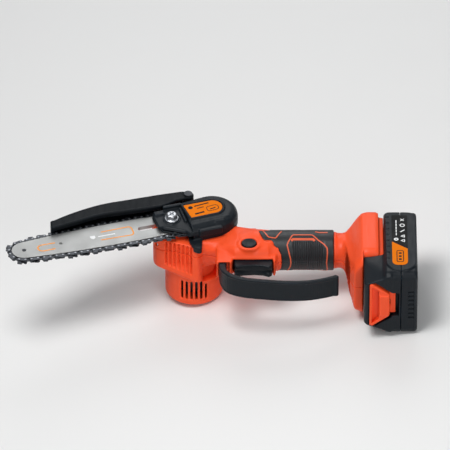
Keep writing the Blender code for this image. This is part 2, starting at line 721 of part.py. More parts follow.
def bar_clamp():
    """The bolt that clamps the guide bar, its flange nut, and the screw and block that tension the chain."""
    at = bar_point(*STUD, 0)
    turned("bar_bolt", [(3.6, -9.6), (3.6, -0.6), (2.9, -0.6), (2.9, 28.6), (2.4, 29.4)], "zinc", 18, at=at)
    flange = turned("bar_nut", [(6.9, 25.5), (6.9, 26.7), (6.2, 27.5)], "zinc", 24, at=at)
    hexagon = prism("hexagon", circle(5.6, 6), 26.5, 32.2, "zinc", edge=0.5, at=at)
    combine(flange, [hexagon], "UNION")
    combine(flange, [turned("thread", [(3.2, 20), (3.2, 30.4)], "zinc", 18, at=at)], "DIFFERENCE")
    block = prism("tension_block", box_outline(-37.0, -29.0, -13.0, -5.0), 1.4, 8.2, "zinc", **on_bar())
    pin = prism("pin", circle(2.2, 12, TENSION_PIN), 7.0, 19.2, "zinc", **on_bar())
    combine(block, [pin], "UNION")
    bore = turned("bore", [(2.3, -30), (2.3, 60)], "zinc", 12, axis="X", at=bar_point(-66, -9, 4.8))
    bore.rotation_euler = (0, 0, BAR_ANGLE)
    combine(block, [bore], "DIFFERENCE")
    screw = turned(
        "tension_screw", [(2.0, 6.0), (2.0, 38.6)], "zinc", 12, axis="X", at=bar_point(-66, -9, 4.8)
    )
    screw.rotation_euler = (0, 0, BAR_ANGLE)


def cover_outline(i=0.0):
    """The sprocket cover's outline in the bar's frame."""
    back = [(x, y, 0) for x, y in arc((0, 0), 26.0 - i, -97, 97, 18)]
    return fillet(
        [(-63 + i, 13 - i, 3), (-60 + i, -11 + i, 4), (-40, -17.5 + i, 6), (-31 + i * 0.3, -25.5 + i, 4)]
        + back
        + [(-31, 22 - i, 16), (-50, 17.5 - i, 10)],
        3,
    )


def side_cover():
    levels = ((12.3, 0.0), (21.0, 0.0), (25.0, 1.0), (27.8, 3.4), (29.2, 7.0))
    cover = loft("side_cover", [[(x, y, z) for x, y in cover_outline(i)] for z, i in levels], "black", **on_bar())
    hollow = ((5.0, 2.4), (20.0, 2.4), (23.4, 3.2), (25.6, 5.0), (26.6, 8.0))
    inside = loft("inside", [[(x, y, z) for x, y in cover_outline(i)] for z, i in hollow], "black", **on_bar())
    front = prism("front", box_outline(-90, -27, -40, 40), 5.0, 22.4, "black", **on_bar())
    combine(cover, [inside, front], "DIFFERENCE")
    pad = prism("pad", fillet([(-58, -9, 3), (-28, -9, 3), (-28, 9, 3), (-58, 9, 3)], 3), 20.3, 28.0, "black", **on_bar())
    combine(cover, [pad], "UNION")
    step = prism("step", box_outline(-90, -27.5, -40, 40), COVER_FRONT_TOP, 40.0, "black", **on_bar())
    combine(cover, [step], "DIFFERENCE")
    combine(cover, [prism("stud_way", circle(3.3, 18, STUD), 10, 40, "black", **on_bar())], "DIFFERENCE")


GUARD_OUTER = [(-248.5, 12.0), (-230, 27.0), (-200, 39.5), (-170, 48.0), (-140, 56.0), (-118, 61.0)]
GUARD_INNER = [(-124, 49), (-136, 41.5), (-150, 34), (-180, 25), (-205, 12.2), (-230, -1), (-246, -5)]


def smooth_path(points, steps=4):
    """A Catmull-Rom curve through the points."""
    found = []
    ends = [points[0]] + points + [points[-1]]
    for k in range(1, len(ends) - 2):
        a, b, c, d = (Vector(p) for p in ends[k - 1 : k + 3])
        for i in range(steps):
            t = i / steps
            found.append(
                0.5 * ((2 * b) + (c - a) * t + (2 * a - 5 * b + 4 * c - d) * t**2 + (3 * b - a - 3 * c + d) * t**3)
            )
    return [tuple(p) for p in found] + [points[-1]]


def strip(name, path, width, low, high, finish):
    """A wall of even thickness that follows a path, lying to its right."""
    across = []
    for k, p in enumerate(path):
        ahead = Vector(path[min(k + 1, len(path) - 1)]) - Vector(path[max(k - 1, 0)])
        across.append(tuple(Vector(p) + width * Vector((ahead.y, -ahead.x)).normalized()))
    return prism(name, path + across[::-1], low, high, finish)


def upper_guard():
    """The swinging guard over the chain's upper run: a flange, a wall along its outer edge and a hinge eye."""
    px, py = GUARD_PIVOT
    outer = smooth_path(GUARD_OUTER)
    outline = outer + [(-112.0, 60.5), (-108.0, 55.5), (-112.0, 50.5)] + smooth_path(GUARD_INNER)
    guard = prism("upper_guard", outline, 24.4, 27.0, "black")
    wall = strip("wall", outer, 2.6, 12.6, 25.6, "black")
    eye = turned("eye", [(5.6, 12.4), (5.6, 27.0)], "black", 24, at=(px, py, 0))
    combine(guard, [wall, eye], "UNION")
    combine(guard, [turned("bore", [(2.8, 0), (2.8, 60)], "black", 16, at=(px, py, 0))], "DIFFERENCE")
    screw = turned("guard_pivot_screw", [(2.5, 0.4), (2.5, 27.3), (4.6, 27.3), (4.2, 28.9)], "zinc", 18, at=(px, py, 0))
    move_origin(guard, (px, py, 20))
    return screw


def move_origin(made, point):
    """Moves an object's origin to a point in mm without moving its mesh."""
    bpy.context.view_layer.update()
    shift = made.matrix_world.inverted() @ (Vector(point) * MM)
    made.data.transform(Matrix.Translation(-shift))
    made.location = Vector(point) * MM


HAND_GUARD_PATH = [
    (-76.5, -6), (-78.5, -22), (-79.5, -36), (-77, -48), (-69.5, -57), (-55, -62.5),
    (-35, -66), (-15, -68), (6, -67.5), (22, -64), (37, -58.5),
]


def hand_guard():
    path = smooth_path(HAND_GUARD_PATH, 3)
    guard = strip("hand_guard", path, -3.6, -9.2, 9.2, "black")
    combine(guard, [neck_solid("seat", -GAP)], "DIFFERENCE")


# ---------------------------------------------------------------- controls


def controls():
    x0, x1 = TRIGGER_X
    face = TRIGGER_FACE
    finger = smooth_path([(x1, -22), (x1 - 3, face + 2), (x1 - 14, face + 3), (x0 + 12, face + 2), (x0 + 2, face - 2)])
    outline = finger + [(x0, face), (x0, -15.0), (x1, -15.0)]
    trigger = prism("trigger", outline, -6.6, 6.6, "black", edge=1.0)
    seat = turned("seat", [(3.4, -19.0), (3.4, 0.0)], "black", 16, axis="Y", at=(-46.0, 0.0, 0.0))
    combine(trigger, [seat], "DIFFERENCE")
    oval = [(7.5 * math.cos(a), 6.8 * math.sin(a)) for a in np.linspace(0, 2 * math.pi, 25)[:-1]]
    small = [(x * 0.86, y * 0.86) for x, y in oval]
    rings = [[(x, y, z) for x, y in o] for o, z in ((oval, 12.6), (oval, 19.8), (small, 21.0))]
    loft("lock_off_button", rings, "black", at=(LOCK_AT.x, LOCK_AT.y, 0))
    box("switch_module", (-58.0, -32.0), (-8.6, 6.0), (-8.0, 8.0))
    coil("trigger_spring", 2.6, 0.45, (-46.0, -18.6, 0.0), (-46.0, -8.95, 0.0), 6)
    coil("lock_off_spring", 3.2, 0.4, (LOCK_AT.x, LOCK_AT.y, 8.4), (LOCK_AT.x, LOCK_AT.y, 12.25), 3)


def coil(name, radius, wire, start, end, turns, sides=5, steps=8):
    """A compression spring between two points on its axis."""
    a, b = Vector(start), Vector(end)
    axis = (b - a).normalized()
    side = axis.orthogonal().normalized()
    other = axis.cross(side)
    height = (b - a).length - 2 * wire
    rings = []
    for i in range(turns * steps + 1):
        turn = 2 * math.pi * i / steps
        out = side * math.cos(turn) + other * math.sin(turn)
        centre = a + axis * (wire + height * i / (turns * steps)) + out * radius
        rings.append(
            [
                centre + wire * (out * math.cos(t) + axis * math.sin(t))
                for t in (2 * math.pi * k / sides for k in range(sides))
            ]
        )
    return loft(name, rings, "zinc")


# ---------------------------------------------------------------- battery


def battery():
    x0, x1 = BATTERY_X
    y0, y1 = BATTERY_Y
    half = BATTERY_HALF
    joint = x0 + 15.0
    case = along_handle(
        "battery_case",
        [
            (x0, y0 + 1.5, y1, -half + 1, half - 1, 7),
            (x0 + 3, y0, y1, -half, half, 8),
            (x1 - 4, y0, y1, -half, half, 8),
            (x1 - 1, y0 + 1.5, y1 - 1.5, -half + 1.5, half - 1.5, 8),
            (x1, y0 + 4, y1 - 4, -half + 4, half - 4, 8),
        ],
        "black",
    )
    tongue = [
        box("flange", (74.0, 79.1), (-49.0, 8.6), (-25.0, 25.0)),
        box("neck", (78.0, x0 + 4), (-49.0, 8.6), (-20.1, 20.1)),
        prism(
            "latch_block",
            fillet([(62.7, y0 + 3, 5), (66.0, y0, 3), (x0 + 4, y0, 0), (x0 + 4, -50.0, 0), (62.7, -50.0, 2)], 2),
            -31.0,
            31.0,
            "black",
            edge=2.0,
            steps=1,
        ),
    ]
    combine(case, tongue, "UNION")
    cuts = [
        box("hollow", (x0 + 2.8, x1 - 2.6), (y0 + 2.6, y1 - 2.6), (-half + 2.6, half - 2.6)),
        box("slot_a", (74.9, x0 + 3.2), (-9.0, 12.0), (8.0, 10.0)),
        box("slot_b", (74.9, x0 + 3.2), (-9.0, 12.0), (-10.0, -8.0)),
        box("button_well", (67.5, 88.9), (y0 - 4, y0 + 12.0), (-18.0, 18.0)),
    ]
    combine(case, cuts, "DIFFERENCE")
    base = copy_of(case, "battery_base")
    case.name = "battery_top"
    far = 300.0
    combine(case, [box("outer", (joint - SEAM, far), (-far, far), (-far, far))], "DIFFERENCE")
    combine(base, [box("inner", (-far, joint + SEAM), (-far, far), (-far, far))], "DIFFERENCE")
    button = prism(
        "battery_release_button",
        fillet([(67.9, y0 - 1.0, 1.5), (84.9, y0 - 1.0, 1.5), (84.9, y0 + 7, 0), (67.9, y0 + 7, 0)], 2),
        -17.6,
        17.6,
        "orange",
    )
    coil("battery_release_spring", 2.8, 0.45, (85.25, y0 + 3.2, 0.0), (88.7, y0 + 3.2, 0.0), 3)
    for k in range(5):
        y = (y0 + y1) / 2 + (k - 2) * CELL_STEP
        turned(f"battery_cell_{k + 1}", [(CELL_RADIUS, -CELL_LENGTH / 2), (CELL_RADIUS, CELL_LENGTH / 2)], "cell_wrap", 20, at=(104.5, y, 0))
    box("battery_board", (90.2, 91.8), (y0 + 14, y1 - 5), (-22.0, 22.0), "board")
    box("terminal_block", (66.3, 73.2), (-9.0, 10.0), (-12.0, 12.0))
    for name, z in (("terminal_blade_positive", 9.0), ("terminal_blade_negative", -9.0)):
        box(name, (75.6, 81.4), (-6.0, 11.5), (z - 0.4, z + 0.4), "brass")
    return button


def screws():
    """The screws that hold the housing's halves together, driven in from the motor's side."""
    for k, (x, y) in enumerate(((-139.0, 24.0), (-70.0, 16.0), (46.0, 14.0), (58.4, -42.0))):
        turned(f"housing_screw_{k + 1}", [(1.7, -9.0), (1.7, 9.0)], "zinc", 10, at=(x, y, 0))


# ---------------------------------------------------------------- assembly


def stand_on_ground():
    """Tips the tool onto the motor's end and the battery's lower edge and centres it over the origin."""
    rim = Vector((MOTOR_AT.x + BARREL_RADIUS - 3.0, BARREL_END))
    edge = Vector((BATTERY_X[1] - 4.0, -BATTERY_HALF))
    pitch = math.atan2(edge.y - rim.y, edge.x - rim.x)
    axes = bpy.data.objects.new("tool_axes", None)
    bpy.context.scene.collection.objects.link(axes)
    for made in list(bpy.data.objects):
        if made.type == "MESH" and made.parent is None:
            made.parent = axes
    axes.rotation_euler = (0, pitch, 0)
    bpy.context.view_layer.update()
    points = [made.matrix_world @ v.co for made in bpy.data.objects if made.type == "MESH" for v in made.data.vertices]
    low = [min(p[i] for p in points) for i in range(3)]
    high = [max(p[i] for p in points) for i in range(3)]
    axes.location = (-(low[0] + high[0]) / 2, -(low[1] + high[1]) / 2, -low[2])


clear_scene()
saw_chain()
guide_bar()
nose_star()
drive_parts()
motor_parts()
housing()
grips()
gear_plate()
bar_clamp()
side_cover()
upper_guard()
hand_guard()
controls()
battery()
screws()
stand_on_ground()
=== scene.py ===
"""A battery pruning saw lying on its side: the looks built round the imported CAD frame.

Lengths are in mm in the tool frame until `place` turns them into metres: X along the handle with the
battery at +X, Y to the back of the handle with the trigger at -Y, Z out of the sprocket cover.
"""

import json
import math

import bmesh
import bpy
import numpy as np
from mathutils import Matrix, Vector


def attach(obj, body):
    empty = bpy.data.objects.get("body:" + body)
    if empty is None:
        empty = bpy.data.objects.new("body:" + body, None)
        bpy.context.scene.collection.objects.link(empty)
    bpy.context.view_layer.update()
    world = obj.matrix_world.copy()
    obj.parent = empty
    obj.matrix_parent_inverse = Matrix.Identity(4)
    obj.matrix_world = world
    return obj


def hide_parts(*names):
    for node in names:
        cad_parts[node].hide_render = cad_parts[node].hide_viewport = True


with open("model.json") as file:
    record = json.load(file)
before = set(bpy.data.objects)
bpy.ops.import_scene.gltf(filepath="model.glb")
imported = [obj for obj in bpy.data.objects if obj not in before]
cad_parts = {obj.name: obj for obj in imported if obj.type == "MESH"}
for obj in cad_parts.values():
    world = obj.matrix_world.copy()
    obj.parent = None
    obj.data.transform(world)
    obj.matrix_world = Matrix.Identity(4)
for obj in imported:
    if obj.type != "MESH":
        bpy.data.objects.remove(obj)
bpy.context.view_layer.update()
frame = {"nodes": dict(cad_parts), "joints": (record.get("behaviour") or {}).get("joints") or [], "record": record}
NODES = frame["nodes"]

MM = 0.001

# ---------------------------------------------------------------- tool frame

PITCH = 6.35  # from one rivet of the chain to the next
DRIVE_LINKS = 38
SPROCKET_TEETH = 7
BAR_TURN = math.radians(16.5)
BAR_MID_Z = 18.0
BAR_THICK = 4.0
RIVET_TO_RAIL = 2.5
NOSE_RADIUS = 12.4
SPROCKET = Vector((-88.0, 29.8))
STUD = (-42.0, 0.0)  # the bar nut's place, in the bar's frame
PIVOT = (-112.0, 55.5)  # the upper guard's hinge
BORE_HEIGHT = 10.0  # the height at which the record gives the sprocket's axis
MOTOR = SPROCKET + 21.6 * Vector((math.cos(math.radians(213.2)), math.sin(math.radians(213.2))))


def tool_matrix():
    """The tool frame in metres, read from the directions and the place of the record's joints."""
    joints = {joint["name"]: joint for joint in frame["joints"]}
    z = Vector(joints["output_spin"]["axis"]).normalized()
    x = Vector(joints["battery_release_press"]["axis"]).normalized()
    y = z.cross(x).normalized()
    turn = Matrix((x, y, z)).transposed()
    hub = Vector((SPROCKET.x, SPROCKET.y, BORE_HEIGHT)) * MM
    return Matrix.Translation(Vector(joints["output_spin"]["pos_m"]) - turn @ hub) @ turn.to_4x4()


TOOL = tool_matrix()
BAR_C, BAR_S = math.cos(BAR_TURN), math.sin(BAR_TURN)


def bar_to_tool(x, y):
    return SPROCKET.x + BAR_C * x - BAR_S * y, SPROCKET.y + BAR_S * x + BAR_C * y


def tool_to_bar(x, y):
    dx, dy = x - SPROCKET.x, y - SPROCKET.y
    return BAR_C * dx + BAR_S * dy, BAR_C * dy - BAR_S * dx


# ---------------------------------------------------------------- fields


class Grid:
    """A regular grid of sample points whose coordinates broadcast against each other."""

    def __init__(self, x, y, z, step):
        self.step = step
        self.low = np.array([x[0], y[0], z[0]], np.float32) - 0.371 * step
        axes = []
        for k, (low, high) in enumerate((x, y, z)):
            count = int((high - low) / step) + 3
            axes.append(self.low[k] + step * np.arange(count, dtype=np.float32))
        self.x, self.y, self.z = axes[0][:, None, None], axes[1][None, :, None], axes[2][None, None, :]
        self.shape = tuple(len(a) for a in axes)


def join(a, b, soft=0.0):
    """The union of two fields, with a fillet of about `soft` mm."""
    if soft <= 0:
        return np.minimum(a, b)
    near = np.maximum(soft - np.abs(a - b), 0) / soft
    return np.minimum(a, b) - near * near * soft / 4


def carve(a, b, soft=0.0):
    """a without b."""
    return -join(-a, b, soft)


def common(a, b, soft=0.0):
    return -join(-a, -b, soft)


def polygon(x, y, points):
    """Signed distance to a closed outline in a plane, negative inside."""
    nearest, inside = None, False
    for (ax, ay), (bx, by) in zip(points, points[1:] + points[:1]):
        ex, ey = bx - ax, by - ay
        wx, wy = x - ax, y - ay
        t = np.clip((wx * ex + wy * ey) / (ex * ex + ey * ey + 1e-9), 0, 1)
        far = (wx - ex * t) ** 2 + (wy - ey * t) ** 2
        nearest = far if nearest is None else np.minimum(nearest, far)
        if abs(ey) > 1e-9:
            inside = inside ^ (((ay > y) != (by > y)) & (x < ex * wy / ey + ax))
    return np.where(inside, -1, 1).astype(np.float32) * np.sqrt(nearest)


def rounded(a, b, radius):
    """Signed distance to the rounded corner where two faces meet, each moved in by radius."""
    return np.minimum(np.maximum(a, b), 0) + np.sqrt(np.maximum(a, 0) ** 2 + np.maximum(b, 0) ** 2) - radius


def rect(u, v, u0, u1, v0, v1, radius=0.0):
    """Signed distance to a rectangle with rounded corners. Its sides may be arrays."""
    a = np.abs(u - (u0 + u1) / 2) - (u1 - u0) / 2 + radius
    b = np.abs(v - (v0 + v1) / 2) - (v1 - v0) / 2 + radius
    return rounded(a, b, radius)


def slab(flat, height, low, high, edge=0.0):
    """A flat shape given depth from low to high, its rims rounded by edge."""
    return rounded(flat + edge, np.abs(height - (low + high) / 2) - (high - low) / 2 + edge, edge)


def block(g, x, y, z, radius=0.0, edge=0.0):
    """A box whose upright corners are rounded by radius and whose rims by edge."""
    return slab(rect(g.x, g.y, *x, *y, radius), g.z, *z, edge)


def rod(u, v, centre, radius):
    return np.sqrt((u - centre[0]) ** 2 + (v - centre[1]) ** 2) - radius


def along_x(g, stations, inset=0.0, soften=0.0):
    """A body whose rounded section square to X is interpolated between (x, y0, y1, z0, z1, radius) rows."""
    rows = np.array(stations, np.float32).T
    around = np.linspace(-soften, soften, 7) if soften else (0.0,)
    y0, y1, z0, z1, r = (
        np.mean([np.interp(g.x + shift, rows[0], row) for shift in around], 0).astype(np.float32) for row in rows[1:]
    )
    section = rect(g.y, g.z, y0 + inset, y1 - inset, z0 + inset, z1 - inset, np.maximum(r - inset, 0.3))
    ends = np.maximum(rows[0][0] + inset - g.x, g.x - rows[0][-1] + inset)
    return np.maximum(section, ends)


def profile(g, outline, low, high, edge=0.0):
    """An outline in the handle's plane, given depth from low to high."""
    return slab(polygon(g.x, g.y, outline), g.z, low, high, edge)


def disc(g, centre, radius, low, high, edge=0.0):
    return slab(rod(g.x, g.y, centre, radius), g.z, low, high, edge)


CORNERS = [(i, j, k) for i in (0, 1) for j in (0, 1) for k in (0, 1)]


def surface(field, grid):
    """Points and quads of the field's zero surface: one point in each cell it crosses."""
    inside = field < 0
    n = [s - 1 for s in field.shape]
    held = np.zeros(n, np.uint8)
    for i, j, k in CORNERS:
        held += inside[i : i + n[0], j : j + n[1], k : k + n[2]]
    cells = np.argwhere((held > 0) & (held < 8))
    number = np.full(n, -1, np.int32)
    number[tuple(cells.T)] = np.arange(len(cells))
    total = np.zeros((len(cells), 3), np.float32)
    hits = np.zeros((len(cells), 1), np.float32)
    for corner in CORNERS:
        for axis in range(3):
            if corner[axis]:
                continue
            one = cells + corner
            two = one.copy()
            two[:, axis] += 1
            a, b = field[tuple(one.T)], field[tuple(two.T)]
            crossed = (a < 0) != (b < 0)
            spot = one.astype(np.float32)
            spot[:, axis] += np.where(crossed, a / np.where(crossed, a - b, 1), 0)
            total += np.where(crossed[:, None], spot, 0)
            hits += crossed[:, None]
    points = grid.low + grid.step * total / hits
    quads = []
    for axis in range(3):
        u, v = (axis + 1) % 3, (axis + 2) % 3
        near, far = [slice(None)] * 3, [slice(None)] * 3
        near[axis], far[axis] = slice(0, -1), slice(1, None)
        edges = np.argwhere(inside[tuple(near)] != inside[tuple(far)])
        edges = edges[(edges[:, u] > 0) & (edges[:, v] > 0) & (edges[:, u] < n[u]) & (edges[:, v] < n[v])]
        ring = []
        for du, dv in ((-1, -1), (0, -1), (0, 0), (-1, 0)):
            cell = edges.copy()
            cell[:, u] += du
            cell[:, v] += dv
            ring.append(number[tuple(cell.T)])
        quad = np.stack(ring, 1)
        outward = inside[tuple(edges.T)]
        quads.append(np.where(outward[:, None], quad, quad[:, ::-1]))
    return points, np.concatenate(quads)


# ---------------------------------------------------------------- meshes


def shown(name, data):
    """An object for the data, in the scene."""
    made = bpy.data.objects.new(name, data)
    bpy.context.scene.collection.objects.link(made)
    return made


def place(name, points, faces, finish, body, replaces=()):
    """Makes a piece from tool-frame points in mm, and says what it rides on and stands for."""
    mesh = bpy.data.meshes.new(name)
    points = np.asarray(points, np.float64) * MM
    matrix = np.array(TOOL)
    world = points @ matrix[:3, :3].T + matrix[:3, 3]
    mesh.from_pydata(world.tolist(), [], faces.tolist() if isinstance(faces, np.ndarray) else faces)
    mesh.materials.append(MATERIALS[finish])
    mesh.shade_smooth()
    piece = shown(name, mesh)
    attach(piece, body)
    if replaces:
        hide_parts(*replaces)
    return piece


def ring_faces(n, count, start=0, closed=False):
    """Faces between `count` rings of n points. The ends are capped, unless the last ring joins the first."""
    faces = []
    for k in range(count if closed else count - 1):
        a, b = start + k * n, start + (k + 1) % count * n
        faces += [(a + i, a + (i + 1) % n, b + (i + 1) % n, b + i) for i in range(n)]
    if not closed:
        last = start + (count - 1) * n
        faces += [tuple(reversed(range(start, start + n))), tuple(range(last, last + n))]
    return faces


def tidy_normals(mesh, angle):
    """Turns the faces outwards and leaves edges sharper than angle degrees unsmoothed."""
    shape = bmesh.new()
    shape.from_mesh(mesh)
    bmesh.ops.recalc_face_normals(shape, faces=shape.faces)
    shape.to_mesh(mesh)
    shape.free()
    mesh.set_sharp_from_angle(angle=math.radians(angle))


def moulded(name, field, grid, finish, node, body="body", relax=0):
    """A piece from a field, standing for a CAD node."""
    points, quads = surface(field, grid)
    for _ in range(relax):
        points = relaxed(points, quads)
    place(name, points, quads, finish, body, (node,))


def relaxed(points, quads):
    """Moves every point halfway to the middle of its neighbours."""
    total = np.zeros_like(points)
    count = np.zeros((len(points), 1), np.float32)
    for k in range(4):
        np.add.at(total, quads[:, k], points[quads[:, (k + 1) % 4]])
        np.add.at(count, quads[:, k], 1)
    return points + 0.5 * (total / np.maximum(count, 1) - points)


def fillet(corners, steps=4):
    """An outline whose corners (x, y, radius) are rounded by arcs."""
    found = []
    for k, (x, y, radius) in enumerate(corners):
        here = Vector((x, y))
        before = (Vector(corners[k - 1][:2]) - here).normalized()
        after = (Vector(corners[(k + 1) % len(corners)][:2]) - here).normalized()
        half = before.angle(after) / 2
        if radius <= 0:
            found.append((x, y))
            continue
        middle = here + (before + after).normalized() * radius / math.sin(half)
        start = here + before * radius / math.tan(half) - middle
        sweep = start.angle_signed(here + after * radius / math.tan(half) - middle)
        for i in range(steps + 1):
            c, s = math.cos(-sweep * i / steps), math.sin(-sweep * i / steps)
            found.append((middle.x + c * start.x - s * start.y, middle.y + s * start.x + c * start.y))
    return found


def arc(centre, radius, start, end, steps):
    """Points on a circle from one angle to another, in degrees."""
    angles = np.radians(np.linspace(start, end, steps + 1))
    return [(centre[0] + radius * math.cos(a), centre[1] + radius * math.sin(a)) for a in angles]


# ---------------------------------------------------------------- materials


class Finish:
    """A node material with short calls for the nodes it is made of."""

    def __init__(self, name, colour, rough, metal=0.0):
        self.material = bpy.data.materials.new(name)
        self.material.use_nodes = True
        self.tree = self.material.node_tree
        self.shader = self.tree.nodes["Principled BSDF"]
        self.shader.inputs["Base Color"].default_value = (*colour, 1)
        self.shader.inputs["Roughness"].default_value = rough
        self.shader.inputs["Metallic"].default_value = metal
        self.where = self.tree.nodes.new("ShaderNodeTexCoord").outputs["Object"]

    def link(self, out, into):
        self.tree.links.new(out, into)

    def noise(self, scale, detail=3.0, stretch=(1, 1, 1), turn=(0, 0, 0)):
        """Noise whose grain is about 1/scale metres, stretched along its own axes."""
        spread = self.tree.nodes.new("ShaderNodeMapping")
        spread.vector_type = "TEXTURE"
        spread.inputs["Rotation"].default_value = turn
        spread.inputs["Scale"].default_value = stretch
        self.link(self.where, spread.inputs["Vector"])
        made = self.tree.nodes.new("ShaderNodeTexNoise")
        made.inputs["Scale"].default_value = scale
        made.inputs["Detail"].default_value = detail
        self.link(spread.outputs[0], made.inputs["Vector"])
        return made.outputs["Fac"]

    def edges(self):
        """How far a surface bulges, about 0.5 where it is flat."""
        return self.tree.nodes.new("ShaderNodeNewGeometry").outputs["Pointiness"]

    def span(self, out, low, high, to_low, to_high):
        made = self.tree.nodes.new("ShaderNodeMapRange")
        for name, value in (("From Min", low), ("From Max", high), ("To Min", to_low), ("To Max", to_high)):
            made.inputs[name].default_value = value
        self.link(out, made.inputs["Value"])
        return made.outputs[0]

    def sum(self, *outs):
        total = outs[0]
        for out in outs[1:]:
            made = self.tree.nodes.new("ShaderNodeMath")
            self.link(total, made.inputs[0])
            self.link(out, made.inputs[1])
            total = made.outputs[0]
        return total

    def colours(self, factor, *stops):
        """Colour by a 0 to 1 factor through (place, colour) stops."""
        ramp = self.tree.nodes.new("ShaderNodeValToRGB")
        while len(ramp.color_ramp.elements) < len(stops):
            ramp.color_ramp.elements.new(0.5)
        for element, (spot, colour) in zip(ramp.color_ramp.elements, stops):
            element.position = spot
            element.color = (*colour, 1)
        self.link(factor, ramp.inputs["Fac"])
        self.link(ramp.outputs["Color"], self.shader.inputs["Base Color"])

    def rough(self, out):
        self.link(out, self.shader.inputs["Roughness"])

    def bump(self, out, depth):
        """Relief of about depth metres."""
        made = self.tree.nodes.new("ShaderNodeBump")
        made.inputs["Distance"].default_value = depth
        made.inputs["Strength"].default_value = 1.0
        self.link(out, made.inputs["Height"])
        self.link(made.outputs["Normal"], self.shader.inputs["Normal"])


def scaled(colour, factor):
    return tuple(min(channel * factor, 1.0) for channel in colour)


def plastic(name, colour, rough, grain=3200.0, relief=0.00003, edge_highlight=1.25, shine=0.5):
    """Moulded plastic: fine cast grain and faint flow marks, with a painted highlight on its bulging edges and
    painted shade in its hollows.
    """
    made = Finish(name, colour, rough)
    flow = made.span(made.noise(45.0, 4.0), 0.3, 0.7, -0.10, 0.10)
    bulge = made.span(made.edges(), 0.42, 0.58, 0.15, 0.85)
    # Painted light: bulging edges are lightened as a painted highlight and hollows are darkened to 0.62 as painted
    # shade.
    made.colours(
        made.sum(bulge, flow),
        (0.0, scaled(colour, 0.62)),
        (0.42, scaled(colour, 0.96)),
        (0.60, colour),
        (1.0, scaled(colour, edge_highlight)),
    )
    fine = made.noise(grain, 2.0)
    scuff = made.noise(260.0, 5.0, (1.0, 4.0, 1.0))
    worn = made.span(scuff, 0.35, 0.7, rough - 0.06, rough + 0.08)
    made.rough(made.sum(worn, made.span(fine, 0.3, 0.7, -0.04, 0.04)))
    made.bump(fine, relief)
    made.shader.inputs["Specular IOR Level"].default_value = shine
    return made.material


def nylon(name, colour, rough, edge_highlight, shine):
    """Dark nylon with a coarse moulded grain."""
    return plastic(name, colour, rough, grain=2600.0, relief=0.00004, edge_highlight=edge_highlight, shine=shine)


def printed(name, colour, rough, relief, edge_highlight, shine):
    """A printed ink or film, close to smooth."""
    return plastic(name, colour, rough, grain=4000.0, relief=relief, edge_highlight=edge_highlight, shine=shine)


def steel(name, colour, rough, along=(1.0, 30.0, 1.0), turn=(0, 0, 0), relief=0.00001, hollow_shade=0.55):
    """Worked steel: long fine scratches one way and uneven polish, with painted shade in its hollows and a painted
    highlight on its rims.
    """
    made = Finish(name, colour, rough, 1.0)
    lines = made.noise(5200.0, 2.0, along, turn)
    cloud = made.noise(70.0, 5.0)
    bulge = made.span(made.edges(), 0.44, 0.56, 0.1, 0.9)
    # Painted light: hollows are darkened as painted shade and bulging rims are lightened to 1.15 as a painted
    # highlight.
    made.colours(
        made.sum(bulge, made.span(cloud, 0.3, 0.7, -0.15, 0.15), made.span(lines, 0.3, 0.7, -0.1, 0.1)),
        (0.0, scaled(colour, hollow_shade)),
        (0.45, scaled(colour, 0.95)),
        (1.0, scaled(colour, 1.15)),
    )
    polish = made.span(cloud, 0.3, 0.7, rough - 0.07, rough + 0.09)
    made.rough(made.sum(polish, made.span(lines, 0.3, 0.7, -0.05, 0.05)))
    made.bump(lines, relief)
    return made.material


ORANGE = (0.93, 0.088, 0.022)
SLATE = (0.0072, 0.0104, 0.0140)
ALONG_BAR = (0.0, -0.128, BAR_TURN)  # the turn that lays scratches along the tilted bar
EVEN = (1.0, 1.0, 1.0)

# Every plastic and steel below lightens its bulging edges as a painted highlight and darkens its hollows as painted
# shade.
MATERIALS = {
    "orange": plastic("orange_nylon", ORANGE, 0.42, edge_highlight=1.10, shine=0.26),
    "accent": plastic("orange_inlay", (0.90, 0.14, 0.05), 0.42, edge_highlight=1.1),
    "black": nylon("black_nylon", SLATE, 0.42, 3.4, 0.20),
    "rubber": plastic("grip_rubber", (0.010, 0.012, 0.014), 0.44, grain=1500.0, relief=0.00004, edge_highlight=4.0, shine=0.50),
    "bar_steel": steel("bar_steel", (0.36, 0.365, 0.36), 0.46, (40.0, 1.0, 1.0), ALONG_BAR),
    "chain_steel": steel("chain_steel", (0.062, 0.066, 0.074), 0.34, EVEN),
    "zinc": steel("zinc_plate", (0.62, 0.64, 0.67), 0.36, EVEN),
    "brass": steel("brass", (0.78, 0.58, 0.26), 0.30, EVEN),
    "copper": steel("copper_wire", (0.70, 0.33, 0.18), 0.36, (1.0, 1.0, 14.0)),
    "cell_wrap": plastic("cell_wrap", (0.06, 0.26, 0.46), 0.34, grain=900.0, relief=0.00001),
    "board": plastic("board_laminate", (0.03, 0.20, 0.09), 0.42, grain=1800.0, relief=0.00002),
    "sticker": printed("sticker_film", (0.74, 0.175, 0.004), 0.6, 0.000004, 1.05, 0.05),
    "ink": printed("printed_ink", (0.006, 0.0065, 0.007), 0.5, 0.000004, 1.1, 0.12),
    "mark": printed("white_print", (0.75, 0.76, 0.76), 0.45, 0.000003, 1.05, 0.5),
    "print": printed("orange_print", (0.80, 0.31, 0.06), 0.5, 0.000003, 1.05, 0.12),
    "rivet_steel": steel("rivet_steel", (0.24, 0.25, 0.27), 0.32, EVEN),
    "dark_steel": steel("dark_steel", (0.05, 0.052, 0.058), 0.40, EVEN),
    # The upper guard's nylon is the black nylon darkened to 0.6 as painted shade.
    "painted_shade_black": nylon("guard_nylon_painted_shade", scaled(SLATE, 0.6), 0.48, 4.0, 0.12),
}

# For each finish that the record has no slot for, the slot of the nearest finish that it has.
SLOTS = {"accent": "orange", "sticker": "orange", "print": "orange", "ink": "black", "painted_shade_black": "black"}
SLOTS |= {"mark": "zinc", "rivet_steel": "chain_steel"}

DARK_NODES = ["motor_can", "guard_pivot_screw", "nose_rivet"] + [f"housing_screw_{k}" for k in range(1, 5)]


